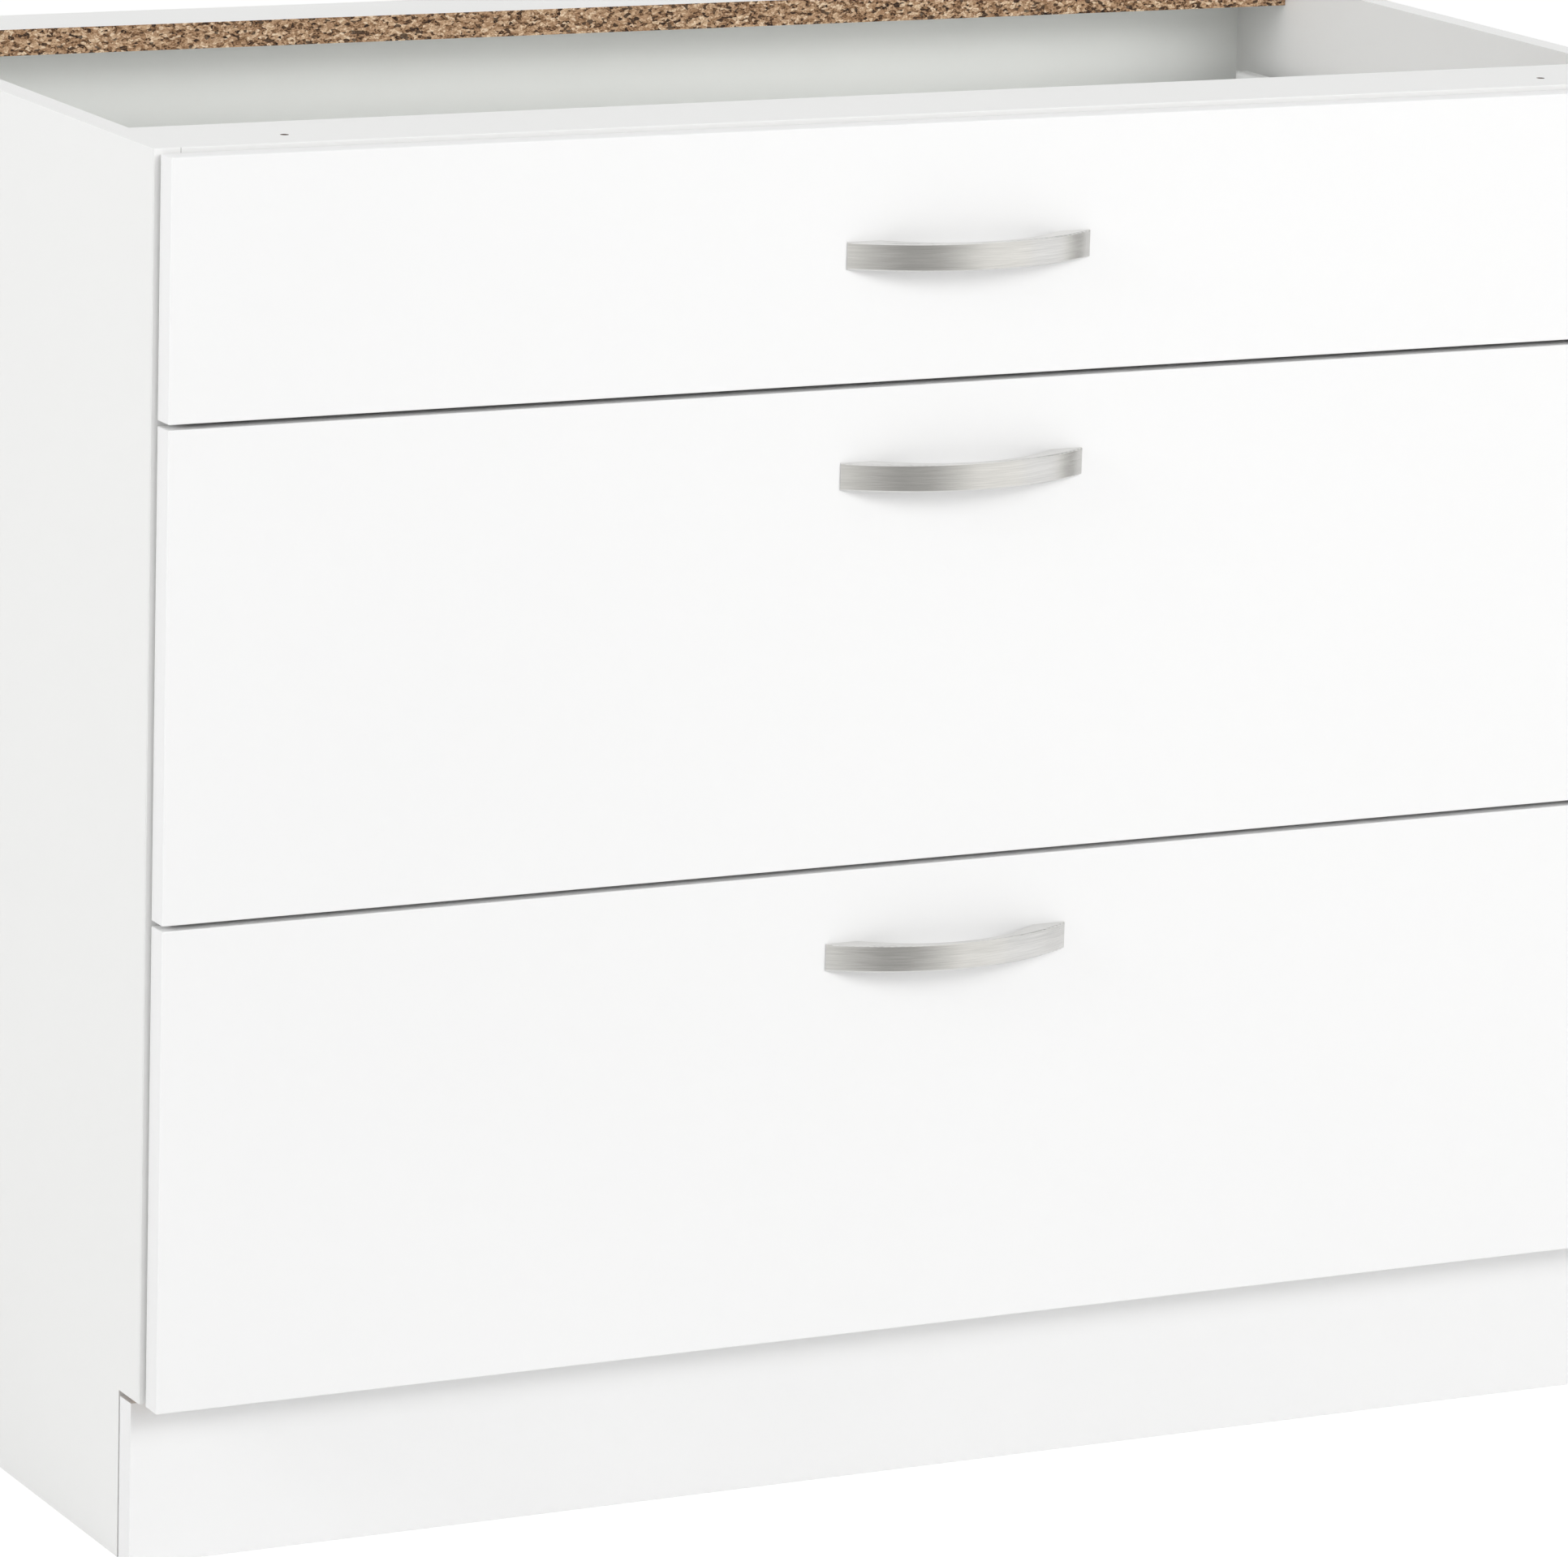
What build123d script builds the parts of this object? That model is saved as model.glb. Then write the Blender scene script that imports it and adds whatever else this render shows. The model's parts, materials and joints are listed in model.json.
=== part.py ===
from build123d import *
import os

# A kitchen base unit with one shallow and two deep drawers, sold without a worktop.
# Melamine-faced chipboard carcass, slab fronts with bow handles, and steel drawer sides that
# run on rollers. Millimetres: X to the right, Y to the back, Z up, and the origin on the floor
# under the middle of the unit's box.

os.makedirs("parts", exist_ok=True)

# ---------------------------------------------------------------- carcass sizes
overall_width = 1000.0
overall_height = 820.0
carcass_depth = 520.0
board = 16.0  # thickness of every chipboard panel
edge_band = 0.8
back_thickness = 3.0
back_inset = 1.0  # the back panel stops short of the carcass outline
front_rail_width = 75.0
rear_rail_width = 60.0
plinth_height = 100.0
plinth_set_back = 12.0
plinth_top_gap = 3.0
plinth_notch_gap = 2.0  # between the plinth board and the side panels' notches

# ---------------------------------------------------------------- drawer front sizes
front_thickness = 16.0
front_stand_off = 2.0  # air between the closed fronts and the carcass
front_side_reveal = 3.0
front_top_reveal = 2.5
front_overhang = 1.5  # the lowest front reaches below the bottom panel
front_gap = 3.0
top_front_height = 149.0
front_edge_radius = 0.8

# ---------------------------------------------------------------- handle sizes
handle_length = 158.0
handle_height = 16.0
handle_projection = 25.0
handle_thickness = 4.0
handle_tip = 1.0  # how far each blunt end stands off the front
handle_foot = 22.0
handle_hole_spacing = 128.0
handle_edge_radius = 0.8
deep_handle_drop = 51.0  # from the top edge of a deep front to the handle's centre
handle_screw_radius = 2.0
handle_screw_grip = 5.5  # thread held by the handle
handle_screw_head_radius = 4.0
handle_screw_head_height = 2.5

# ---------------------------------------------------------------- runner sizes
rail_sheet = 1.5
rail_width = 10.5
rail_bend = 2.0
rail_set_back = 3.0
rail_rear_room = 17.0
roller_radius = 11.0
roller_width = 6.0
roller_edge_radius = 0.6
roller_gap = 0.3  # a roller's running gap to its track and to its axle's collars
roller_top_play = 0.7
axle_radius = 2.5
axle_clearance = 0.05
collar_radius = 4.0
collar_thickness = 0.6
front_axle_set_back = 14.0  # from the rail's front end
front_roller_window = 28.0
runner_overlap = 120.0  # length of runner still inside when a drawer is fully open
runner_lift = 4.0  # rails of the upper drawers, above the lower edge of their fronts
floor_rail_gap = 4.0  # rails of the lowest drawer, above the bottom panel
stop_height = 4.0
stop_gap = 0.5

# ---------------------------------------------------------------- drawer box sizes
side_sheet = 1.2
side_height = 86.0
side_bend = 1.5
side_clearance = 1.0  # between a cabinet rail and the drawer side beside it
hem_width = 9.0
hem_lip = 6.0
floor_flange = 14.0
floor_lift = 6.8  # underside of the floor flange above the rail's underside
running_flange_play = 1.0
board_gap = 0.3  # between a drawer's boards and the steel beside them
back_drop = 10.0  # the shallow back board stops below the steel sides
deep_back_height = 166.0
bracket_height = 40.0
bracket_leg = 30.0
bracket_plate = 19.5
bracket_lift = 6.0
rod_radius = 5.0
rod_drop = 14.0  # from the top of a deep back board to the gallery rod
rod_inset = 18.0  # from the side panel's inner face
cup_radius = 8.0
cup_length = 14.0
cup_socket = 10.0
cup_plate_width = 16.0
cup_plate_height = 34.0
cup_plate_thickness = 2.0

# ---------------------------------------------------------------- fasteners
screw_radius = 1.75
screw_head_radius = 3.5
screw_head_height = 1.6
fit_clearance = 0.05
plate_screw_length = 12.0
edge_screw_length = 26.0
back_screw_length = 15.0
floor_to_back_screw_length = 34.0
floor_to_back_screw_inset = 150.0
first_rail_hole = 37.0  # standard distance from the carcass front edge
middle_rail_hole = 261.0
rear_rail_hole_room = 50.0
dowel_radius = 4.0
dowel_in_side = 10.0
dowel_in_panel = 20.0
dowel_end_room = 1.0
cam_radius = 7.5
cam_roof = 3.5  # chipboard left above a cam
cam_from_end = 24.0
cam_bolt_radius = 3.0
cam_bolt_thread_radius = 2.5
cam_bolt_thread = 11.0
cam_bolt_head_radius = 3.5
cam_bolt_head = 3.0
cam_bolt_bore_radius = 4.0
worktop_screw_radius = 2.5
worktop_screw_from_side = 90.0
worktop_screw_inset = 28.0
plinth_bracket_leg = 30.0
plinth_bracket_width = 20.0
plinth_bracket_sheet = 2.0
plinth_bracket_from_side = 120.0
plinth_bracket_count = 4
plinth_bracket_screw_reach = 20.0  # from the bracket's corner to its screws
back_screw_side_inset = 100.0
back_screw_height_inset = 60.0
back_screw_count = 4  # in each row and column
front_cam_inset = 25.0  # cams and dowels, from the carcass front or rear edge
front_dowel_inset = 55.0
rear_cam_inset = 20.0
rear_dowel_inset = 45.0
bottom_cam_inset = 70.0
bottom_dowel_inset = 110.0
cam_slot_width = 1.2
cam_slot_depth = 1.6
side_screw_low = 10.0  # screws of the back board, above the drawer floor
side_screw_high = 32.0
floor_screw_inset = 57.0  # first and last screw under each floor flange
cut_margin = 1.0  # how far a cut runs past the surface that it opens

# ---------------------------------------------------------------- worked-out places
overall_depth = handle_projection + front_thickness + front_stand_off + carcass_depth + back_thickness
carcass_front = handle_projection + front_thickness + front_stand_off - overall_depth / 2
half_width = overall_width / 2
inner_half = half_width - board
front_back_face = carcass_front - front_stand_off
front_face = front_back_face - front_thickness
plinth_rear = carcass_front + plinth_set_back + board
toe_notch_depth = plinth_set_back + board + plinth_notch_gap

front_width = overall_width - 2 * front_side_reveal
fronts_height = overall_height - front_top_reveal - plinth_height + front_overhang
deep_front_height = (fronts_height - top_front_height - 2 * front_gap) / 2
bottom_front_z = plinth_height - front_overhang
middle_front_z = bottom_front_z + deep_front_height + front_gap
top_front_z = middle_front_z + deep_front_height + front_gap

rail_height = 2 * rail_sheet + 2 * roller_radius + roller_gap + roller_top_play
rail_length = carcass_depth - rail_set_back - rail_rear_room
rail_start = carcass_front + rail_set_back
rail_end = rail_start + rail_length
rear_roller_height = rail_sheet + roller_gap + roller_radius
running_flange_height = rail_height + running_flange_play
front_roller_height = running_flange_height - roller_gap - roller_radius
front_axle_y = rail_start + front_axle_set_back
rear_axle_y = rail_end - rail_sheet - stop_gap - roller_radius
drawer_travel = rail_length - runner_overlap

web_outer = rail_width + side_clearance  # from the side panel's inner face
web_inner = web_outer + side_sheet
drawer_end = rail_end - rail_set_back - front_stand_off
floor_underside = floor_lift + side_sheet
floor_top = floor_underside + board
floor_half = inner_half - web_inner - side_bend - board_gap
back_board_front = drawer_end - board
hem_end = back_board_front - board_gap
collar_gap = rail_sheet + roller_gap + collar_thickness
roller_inner = collar_gap + roller_gap
roller_outer = roller_inner + roller_width

worktop_screw_x = half_width - worktop_screw_from_side
front_worktop_screw_y = carcass_front + worktop_screw_inset
rear_worktop_screw_y = carcass_front + carcass_depth - worktop_screw_inset

hands = {"left": -1, "right": 1}
drawers = {
    "top": (top_front_z, top_front_height, top_front_z + runner_lift),
    "middle": (middle_front_z, deep_front_height, middle_front_z + runner_lift),
    "bottom": (bottom_front_z, deep_front_height, plinth_height + board + floor_rail_gap),
}
rail_holes = (
    carcass_front + first_rail_hole,
    carcass_front + middle_rail_hole,
    rail_end - rear_rail_hole_room,
)

# Cam fittings and wooden dowels: distance behind the carcass front, and height of the panel.
rail_height_z = overall_height - board / 2
bottom_height_z = plinth_height + board / 2
cam_places = (
    (front_cam_inset, rail_height_z),
    (carcass_depth - rear_cam_inset, rail_height_z),
    (bottom_cam_inset, bottom_height_z),
    (carcass_depth - bottom_cam_inset, bottom_height_z),
)
dowel_places = (
    (front_dowel_inset, rail_height_z),
    (carcass_depth - rear_dowel_inset, rail_height_z),
    (bottom_dowel_inset, bottom_height_z),
    (carcass_depth - bottom_dowel_inset, bottom_height_z),
)

LOW = (Align.CENTER, Align.CENTER, Align.MIN)
HIGH = (Align.CENTER, Align.CENTER, Align.MAX)


def save_piece(piece, name):
    """Label a finished piece and write it under its name."""
    piece.part.label = name
    export_step(piece.part, os.path.join("parts", name + ".step"))


def spread(low, high, count):
    """Evenly spaced values from low to high."""
    return [low + step * (high - low) / (count - 1) for step in range(count)]


def across(hand, distance):
    """X of a point that lies this far inside the side panel's inner face."""
    return hand * (inner_half - distance)


def inward(hand, distance, y, z):
    """Plane at that point whose normal points to the middle of the cabinet."""
    return Plane(origin=(across(hand, distance), y, z), x_dir=(0, 1, 0), z_dir=(-hand, 0, 0))


def facing(direction, x, y, z):
    """Plane whose normal runs along Y: -1 faces the room and 1 the wall."""
    return Plane(origin=(x, y, z), x_dir=(1, 0, 0), z_dir=(0, direction, 0))


def below(x, y, z):
    """Plane whose normal points down."""
    return Plane(origin=(x, y, z), x_dir=(1, 0, 0), z_dir=(0, 0, -1))


def block(x_range, y_range, z_range, mode=Mode.ADD):
    """Add or cut a block that fills the three ranges."""
    centre = [(low + high) / 2 for low, high in (x_range, y_range, z_range)]
    size = [abs(high - low) for low, high in (x_range, y_range, z_range)]
    with Locations(tuple(centre)):
        Box(*size, mode=mode)


def drill(planes, radius, depth):
    """Blind holes that go in against each plane's normal."""
    with Locations(*planes):
        Hole(radius, depth)


def pan_head_screws(planes, length):
    """Screws whose heads stand on the planes."""
    with Locations(*planes):
        Cylinder(screw_head_radius, screw_head_height, align=LOW)
        Cylinder(screw_radius, length, align=HIGH)


def flush_screws(planes, length, sheet):
    """Countersunk screws whose heads fill a sheet of this thickness."""
    with Locations(*planes):
        Cone(screw_radius, screw_head_radius, sheet, align=HIGH)
        Cylinder(screw_radius, length, align=HIGH)


def countersink(planes, sheet):
    """Holes for flush screws through a sheet of this thickness."""
    with Locations(*planes):
        Cone(
            screw_radius + fit_clearance,
            screw_head_radius + fit_clearance,
            sheet,
            align=HIGH,
            mode=Mode.SUBTRACT,
        )


def side_joint_planes(hand, places):
    """Planes on a side panel's inner face at the given depths and heights."""
    return [inward(hand, 0, carcass_front + depth, z) for depth, z in places]


def drill_panel_ends(places):
    """Bores in both ends of a horizontal panel, along X."""
    for hand in hands.values():
        for (depth, z), radius, length in places:
            plane = Plane(
                origin=(across(hand, 0), carcass_front + depth, z), x_dir=(0, 1, 0), z_dir=(hand, 0, 0)
            )
            with Locations(plane):
                Hole(radius, length)


def drill_cam_pockets(places):
    """Round pockets for the cams, cut from a horizontal panel's underside."""
    for hand in hands.values():
        for depth, z in places:
            with Locations(below(across(hand, cam_from_end), carcass_front + depth, z - board / 2)):
                Hole(cam_radius + fit_clearance, board - cam_roof)


def panel_fittings(places, dowels):
    """All bores and pockets of one horizontal panel."""
    bolt_bore = cam_from_end
    dowel_bore = dowel_in_panel + dowel_end_room
    drill_panel_ends([(place, cam_bolt_bore_radius, bolt_bore) for place in places])
    drill_panel_ends([(place, dowel_radius + fit_clearance, dowel_bore) for place in dowels])
    drill_cam_pockets(places)


def back_screw_planes():
    """Spots on the back panel's rear face, over the edges of the panels in front of it."""
    rear = carcass_front + carcass_depth + back_thickness
    side_x = half_width - board / 2
    low = plinth_height + back_screw_height_inset
    high = overall_height - back_screw_height_inset
    row_x = half_width - back_screw_side_inset
    column = spread(low, high, back_screw_count)
    row = spread(-row_x, row_x, back_screw_count)
    spots = [(hand * side_x, z) for hand in hands.values() for z in column]
    spots += [(x, z) for z in (bottom_height_z, rail_height_z) for x in row]
    return [facing(1, x, rear, z) for x, z in spots]


def worktop_screw_spots(y):
    """Tops of the two worktop screw holes of a cross rail."""
    return [(hand * worktop_screw_x, y, overall_height) for hand in hands.values()]


def plinth_bracket_x():
    """Centres of the plinth brackets."""
    outer = half_width - plinth_bracket_from_side
    return spread(-outer, outer, plinth_bracket_count)


def rail_screw_planes(hand, distance):
    """Spots of one side's rail screws, this far inside the side panel's inner face."""
    heights = [rail_z + rail_height / 2 for _, _, rail_z in drawers.values()]
    return [inward(hand, distance, y, z) for z in heights for y in rail_holes]


# ---------------------------------------------------------------- carcass panels
for side, hand in hands.items():
    with BuildPart() as side_panel:
        with BuildSketch(Plane.YZ.offset(hand * half_width)):
            with BuildLine():
                Polyline(
                    (carcass_front + edge_band, overall_height),
                    (carcass_front + carcass_depth, overall_height),
                    (carcass_front + carcass_depth, 0),
                    (carcass_front + toe_notch_depth, 0),
                    (carcass_front + toe_notch_depth, plinth_height),
                    (carcass_front + edge_band, plinth_height),
                    close=True,
                )
            make_face()
        extrude(amount=-hand * board)
        drill(
            side_joint_planes(hand, cam_places),
            cam_bolt_thread_radius + fit_clearance,
            cam_bolt_thread,
        )
        drill(
            side_joint_planes(hand, dowel_places),
            dowel_radius + fit_clearance,
            dowel_in_side + dowel_end_room,
        )
        drill(rail_screw_planes(hand, 0), screw_radius + fit_clearance, plate_screw_length)
        drill(back_screw_planes(), screw_radius + fit_clearance, back_screw_length)
    save_piece(side_panel, "side_panel_" + side)

with BuildPart() as bottom_panel:
    block(
        (-inner_half, inner_half),
        (carcass_front + edge_band, carcass_front + carcass_depth),
        (plinth_height, plinth_height + board),
    )
    panel_fittings(cam_places[2:], dowel_places[2:])
    drill(back_screw_planes(), screw_radius + fit_clearance, back_screw_length)
    bracket_screw_y = plinth_rear + plinth_bracket_screw_reach
    drill(
        [below(x, bracket_screw_y, plinth_height) for x in plinth_bracket_x()],
        screw_radius + fit_clearance,
        plate_screw_length,
    )
save_piece(bottom_panel, "bottom_panel")

with BuildPart() as front_cross_rail:
    block(
        (-inner_half, inner_half),
        (carcass_front + edge_band, carcass_front + front_rail_width),
        (overall_height - board, overall_height),
    )
    panel_fittings(cam_places[:1], dowel_places[:1])
    with Locations(*worktop_screw_spots(front_worktop_screw_y)):
        Hole(worktop_screw_radius, board)
save_piece(front_cross_rail, "front_cross_rail")

with BuildPart() as rear_cross_rail:
    block(
        (-inner_half, inner_half),
        (carcass_front + carcass_depth - rear_rail_width, carcass_front + carcass_depth),
        (overall_height - board, overall_height),
    )
    panel_fittings(cam_places[1:2], dowel_places[1:2])
    with Locations(*worktop_screw_spots(rear_worktop_screw_y)):
        Hole(worktop_screw_radius, board)
    drill(back_screw_planes(), screw_radius + fit_clearance, back_screw_length)
save_piece(rear_cross_rail, "rear_cross_rail")

with BuildPart() as front_edge_bands:
    band_y = (carcass_front, carcass_front + edge_band)
    for hand in hands.values():
        block((hand * inner_half, hand * half_width), band_y, (plinth_height, overall_height))
    for z in (plinth_height, overall_height - board):
        block((-inner_half, inner_half), band_y, (z, z + board))
save_piece(front_edge_bands, "front_edge_bands")

with BuildPart() as back_panel:
    block(
        (back_inset - half_width, half_width - back_inset),
        (carcass_front + carcass_depth, carcass_front + carcass_depth + back_thickness),
        (plinth_height + back_inset, overall_height - back_inset),
    )
    drill(back_screw_planes(), screw_radius + fit_clearance, back_screw_length)
    countersink(back_screw_planes(), back_thickness)
save_piece(back_panel, "back_panel")

with BuildPart() as plinth_board:
    block(
        (-half_width, half_width),
        (carcass_front + plinth_set_back, plinth_rear),
        (0, plinth_height - plinth_top_gap),
    )
    plinth_screw_z = plinth_height - plinth_bracket_screw_reach
    drill(
        [facing(1, x, plinth_rear, plinth_screw_z) for x in plinth_bracket_x()],
        screw_radius + fit_clearance,
        plate_screw_length,
    )
save_piece(plinth_board, "plinth_board")

# ---------------------------------------------------------------- carcass fittings
with BuildPart() as cam_locks:
    for hand in hands.values():
        for depth, z in cam_places:
            cam_x = across(hand, cam_from_end)
            cam_y = carcass_front + depth
            with Locations(below(cam_x, cam_y, z - board / 2)):
                Cylinder(cam_radius, board - cam_roof, align=HIGH)
                Box(cam_radius, cam_slot_width, cam_slot_depth, align=HIGH, mode=Mode.SUBTRACT)
            slot = cam_bolt_head_radius + fit_clearance
            block(
                (cam_x - hand * slot, cam_x + hand * (cam_radius + fit_clearance)),
                (cam_y - slot, cam_y + slot),
                (z - slot, z + slot),
                mode=Mode.SUBTRACT,
            )
save_piece(cam_locks, "cam_locks")

with BuildPart() as cam_bolts:
    for hand in hands.values():
        with Locations(*side_joint_planes(hand, cam_places)):
            Cylinder(cam_bolt_thread_radius, cam_bolt_thread, align=HIGH)
            Cylinder(cam_bolt_radius, cam_from_end, align=LOW)
        head_planes = [
            inward(hand, cam_from_end - cam_bolt_head, carcass_front + depth, z) for depth, z in cam_places
        ]
        with Locations(*head_planes):
            Cylinder(cam_bolt_head_radius, cam_bolt_head, align=LOW)
save_piece(cam_bolts, "cam_bolts")

with BuildPart() as wooden_dowels:
    for hand in hands.values():
        with Locations(*side_joint_planes(hand, dowel_places)):
            Cylinder(dowel_radius, dowel_in_side, align=HIGH)
            Cylinder(dowel_radius, dowel_in_panel, align=LOW)
save_piece(wooden_dowels, "wooden_dowels")

with BuildPart() as back_panel_screws:
    flush_screws(back_screw_planes(), back_screw_length, back_thickness)
save_piece(back_panel_screws, "back_panel_screws")

with BuildPart() as plinth_brackets:
    leg_end = plinth_rear + plinth_bracket_leg
    for x in plinth_bracket_x():
        x_range = (x - plinth_bracket_width / 2, x + plinth_bracket_width / 2)
        block(
            x_range,
            (plinth_rear, plinth_rear + plinth_bracket_sheet),
            (plinth_height - plinth_bracket_leg, plinth_height),
        )
        block(x_range, (plinth_rear, leg_end), (plinth_height - plinth_bracket_sheet, plinth_height))
    upright_planes = [
        facing(1, x, plinth_rear + plinth_bracket_sheet, plinth_screw_z) for x in plinth_bracket_x()
    ]
    flat_planes = [
        below(x, bracket_screw_y, plinth_height - plinth_bracket_sheet) for x in plinth_bracket_x()
    ]
    drill(upright_planes + flat_planes, screw_radius + fit_clearance, plinth_bracket_sheet)
save_piece(plinth_brackets, "plinth_brackets")

with BuildPart() as plinth_screws:
    pan_head_screws(upright_planes + flat_planes, plate_screw_length)
save_piece(plinth_screws, "plinth_screws")


# ---------------------------------------------------------------- runners on the carcass
def make_cabinet_rail(name, hand, rail_z):
    """C-shaped steel rail on a side panel, with its axle, window and stops."""
    with BuildPart() as rail:
        middle = rail_sheet / 2
        with BuildSketch(Plane.XZ.offset(-rail_end)):
            with BuildLine():
                FilletPolyline(
                    (across(hand, rail_width), rail_z + rail_height - middle),
                    (across(hand, middle), rail_z + rail_height - middle),
                    (across(hand, middle), rail_z + middle),
                    (across(hand, rail_width), rail_z + middle),
                    radius=rail_bend,
                )
            trace(line_width=rail_sheet)
        extrude(amount=rail_length)
        block(
            (across(hand, rail_sheet), across(hand, rail_width + cut_margin)),
            (rail_start - cut_margin, rail_start + front_roller_window),
            (rail_z + rail_height - 2 * rail_bend, rail_z + rail_height + cut_margin),
            mode=Mode.SUBTRACT,
        )
        tab_x = (across(hand, rail_sheet / 2), across(hand, rail_width - rail_sheet))
        block(
            tab_x,
            (rail_end - rail_sheet, rail_end),
            (rail_z + rail_sheet / 2, rail_z + rail_height - rail_sheet / 2),
        )
        open_stop_y = rear_axle_y - drawer_travel - roller_radius - stop_gap
        block(
            tab_x,
            (open_stop_y - rail_sheet, open_stop_y),
            (rail_z + rail_sheet / 2, rail_z + rail_sheet + stop_height),
        )
        axle_z = rail_z + front_roller_height
        with Locations(inward(hand, rail_sheet, front_axle_y, axle_z)):
            Cylinder(collar_radius, collar_gap - rail_sheet, align=LOW)
            Cylinder(axle_radius, roller_outer + roller_gap - rail_sheet, align=LOW)
        with Locations(inward(hand, roller_outer + roller_gap, front_axle_y, axle_z)):
            Cylinder(collar_radius, collar_thickness, align=LOW)
        screw_planes = [inward(hand, rail_sheet, y, rail_z + rail_height / 2) for y in rail_holes]
        drill(screw_planes, screw_radius + fit_clearance, rail_sheet)
        countersink(screw_planes, rail_sheet)
    save_piece(rail, name)


def make_roller_pair(name, y, z):
    """Left and right rollers of one drawer, on one line across the cabinet."""
    with BuildPart() as rollers:
        for hand in hands.values():
            with Locations(inward(hand, roller_inner, y, z)):
                Cylinder(roller_radius, roller_width, align=LOW)
        fillet(rollers.edges().filter_by(GeomType.CIRCLE), radius=roller_edge_radius)
        for hand in hands.values():
            with Locations(inward(hand, roller_inner, y, z)):
                Cylinder(axle_radius + axle_clearance, roller_width, align=LOW, mode=Mode.SUBTRACT)
    save_piece(rollers, name)


for drawer, (front_z, front_height, rail_z) in drawers.items():
    for side, hand in hands.items():
        make_cabinet_rail(f"{drawer}_cabinet_rail_{side}", hand, rail_z)
    make_roller_pair(f"{drawer}_front_rollers", front_axle_y, rail_z + front_roller_height)

with BuildPart() as rail_screws:
    for hand in hands.values():
        flush_screws(rail_screw_planes(hand, rail_sheet), plate_screw_length, rail_sheet)
save_piece(rail_screws, "cabinet_rail_screws")


# ---------------------------------------------------------------- drawer pieces
def bracket_screw_planes(rail_z):
    """Two spots on each front bracket's plate, on its inner face."""
    low = rail_z + floor_top + bracket_lift
    heights = (low + bracket_height / 4, low + bracket_height * 3 / 4)
    middle = web_inner + side_sheet + (bracket_plate - side_sheet) / 2
    y = front_back_face + side_sheet
    return [facing(1, across(hand, middle), y, z) for hand in hands.values() for z in heights]


def side_to_back_planes(rail_z):
    """Two spots on each steel side's outer face, beside the back board."""
    heights = (floor_top + side_screw_low, floor_top + side_screw_high)
    y = drawer_end - board / 2
    return [
        Plane(origin=(across(hand, web_outer), y, rail_z + z), x_dir=(0, 1, 0), z_dir=(hand, 0, 0))
        for hand in hands.values()
        for z in heights
    ]


def floor_screw_planes(rail_z):
    """Three spots under each steel side's floor flange."""
    x_inset = web_inner + floor_flange / 2
    first = front_back_face + floor_screw_inset
    last = back_board_front - floor_screw_inset
    ys = (first, (first + last) / 2, last)
    return [below(across(hand, x_inset), y, rail_z + floor_lift) for hand in hands.values() for y in ys]


def floor_to_back_planes(rail_z):
    """Three spots under the drawer floor, below the back board."""
    reach = floor_half - floor_to_back_screw_inset
    y = drawer_end - board / 2
    return [below(x, y, rail_z + floor_underside) for x in (-reach, 0, reach)]


def rod_height(rail_z):
    """Centre line of the gallery rods of a deep drawer."""
    return rail_z + floor_top + deep_back_height - rod_drop


def cup_places(rail_z):
    """Mounting planes of the four rod cups: two on the front and two on the back board."""
    z = rod_height(rail_z)
    front_cups = [facing(1, across(hand, rod_inset), front_back_face, z) for hand in hands.values()]
    rear_cups = [facing(-1, across(hand, rod_inset), back_board_front, z) for hand in hands.values()]
    return front_cups + rear_cups


def cup_screw_planes(rail_z, direction):
    """Spots above and below the rod cups: 1 for those on the front, -1 for those on the back board."""
    seat = front_back_face if direction == 1 else back_board_front
    y = seat + direction * cup_plate_thickness
    drop = (cup_plate_height + 2 * cup_radius) / 4
    heights = (rod_height(rail_z) - drop, rod_height(rail_z) + drop)
    return [facing(direction, across(hand, rod_inset), y, z) for hand in hands.values() for z in heights]


def handle_hole_x():
    """X of the two handle screws."""
    return (-handle_hole_spacing / 2, handle_hole_spacing / 2)


def make_front(name, front_z, front_height, rail_z, handle_z, deep):
    """Slab front with its bores for the handle and the brackets."""
    with BuildPart() as front:
        block(
            (-front_width / 2, front_width / 2),
            (front_face, front_back_face),
            (front_z, front_z + front_height),
        )
        fillet(front.edges(), radius=front_edge_radius)
        drill(
            [facing(1, x, front_back_face, handle_z) for x in handle_hole_x()],
            handle_screw_radius + fit_clearance,
            front_thickness,
        )
        drill(bracket_screw_planes(rail_z), screw_radius + fit_clearance, plate_screw_length)
        if deep:
            drill(cup_screw_planes(rail_z, 1), screw_radius + fit_clearance, plate_screw_length)
    save_piece(front, name)


def make_handle(name, handle_z):
    """Crescent bow handle with a threaded foot at each end."""
    reach = handle_length / 2
    inner_reach = reach - handle_foot
    with BuildPart() as handle:
        with BuildSketch(Plane.XY.offset(handle_z - handle_height / 2)):
            with BuildLine():
                ThreePointArc(
                    (-reach, front_face - handle_tip),
                    (0, front_face - handle_projection),
                    (reach, front_face - handle_tip),
                )
                Polyline((reach, front_face - handle_tip), (reach, front_face), (inner_reach, front_face))
                ThreePointArc(
                    (inner_reach, front_face),
                    (0, front_face - handle_projection + handle_thickness),
                    (-inner_reach, front_face),
                )
                Polyline((-inner_reach, front_face), (-reach, front_face), (-reach, front_face - handle_tip))
            make_face()
        extrude(amount=handle_height)
        rims = handle.faces().filter_by(Axis.Z).edges().filter_by(GeomType.CIRCLE)
        fillet(rims, radius=handle_edge_radius)
        drill(
            [facing(1, x, front_face, handle_z) for x in handle_hole_x()],
            handle_screw_radius + fit_clearance,
            handle_screw_grip + fit_clearance,
        )
    save_piece(handle, name)


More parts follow.
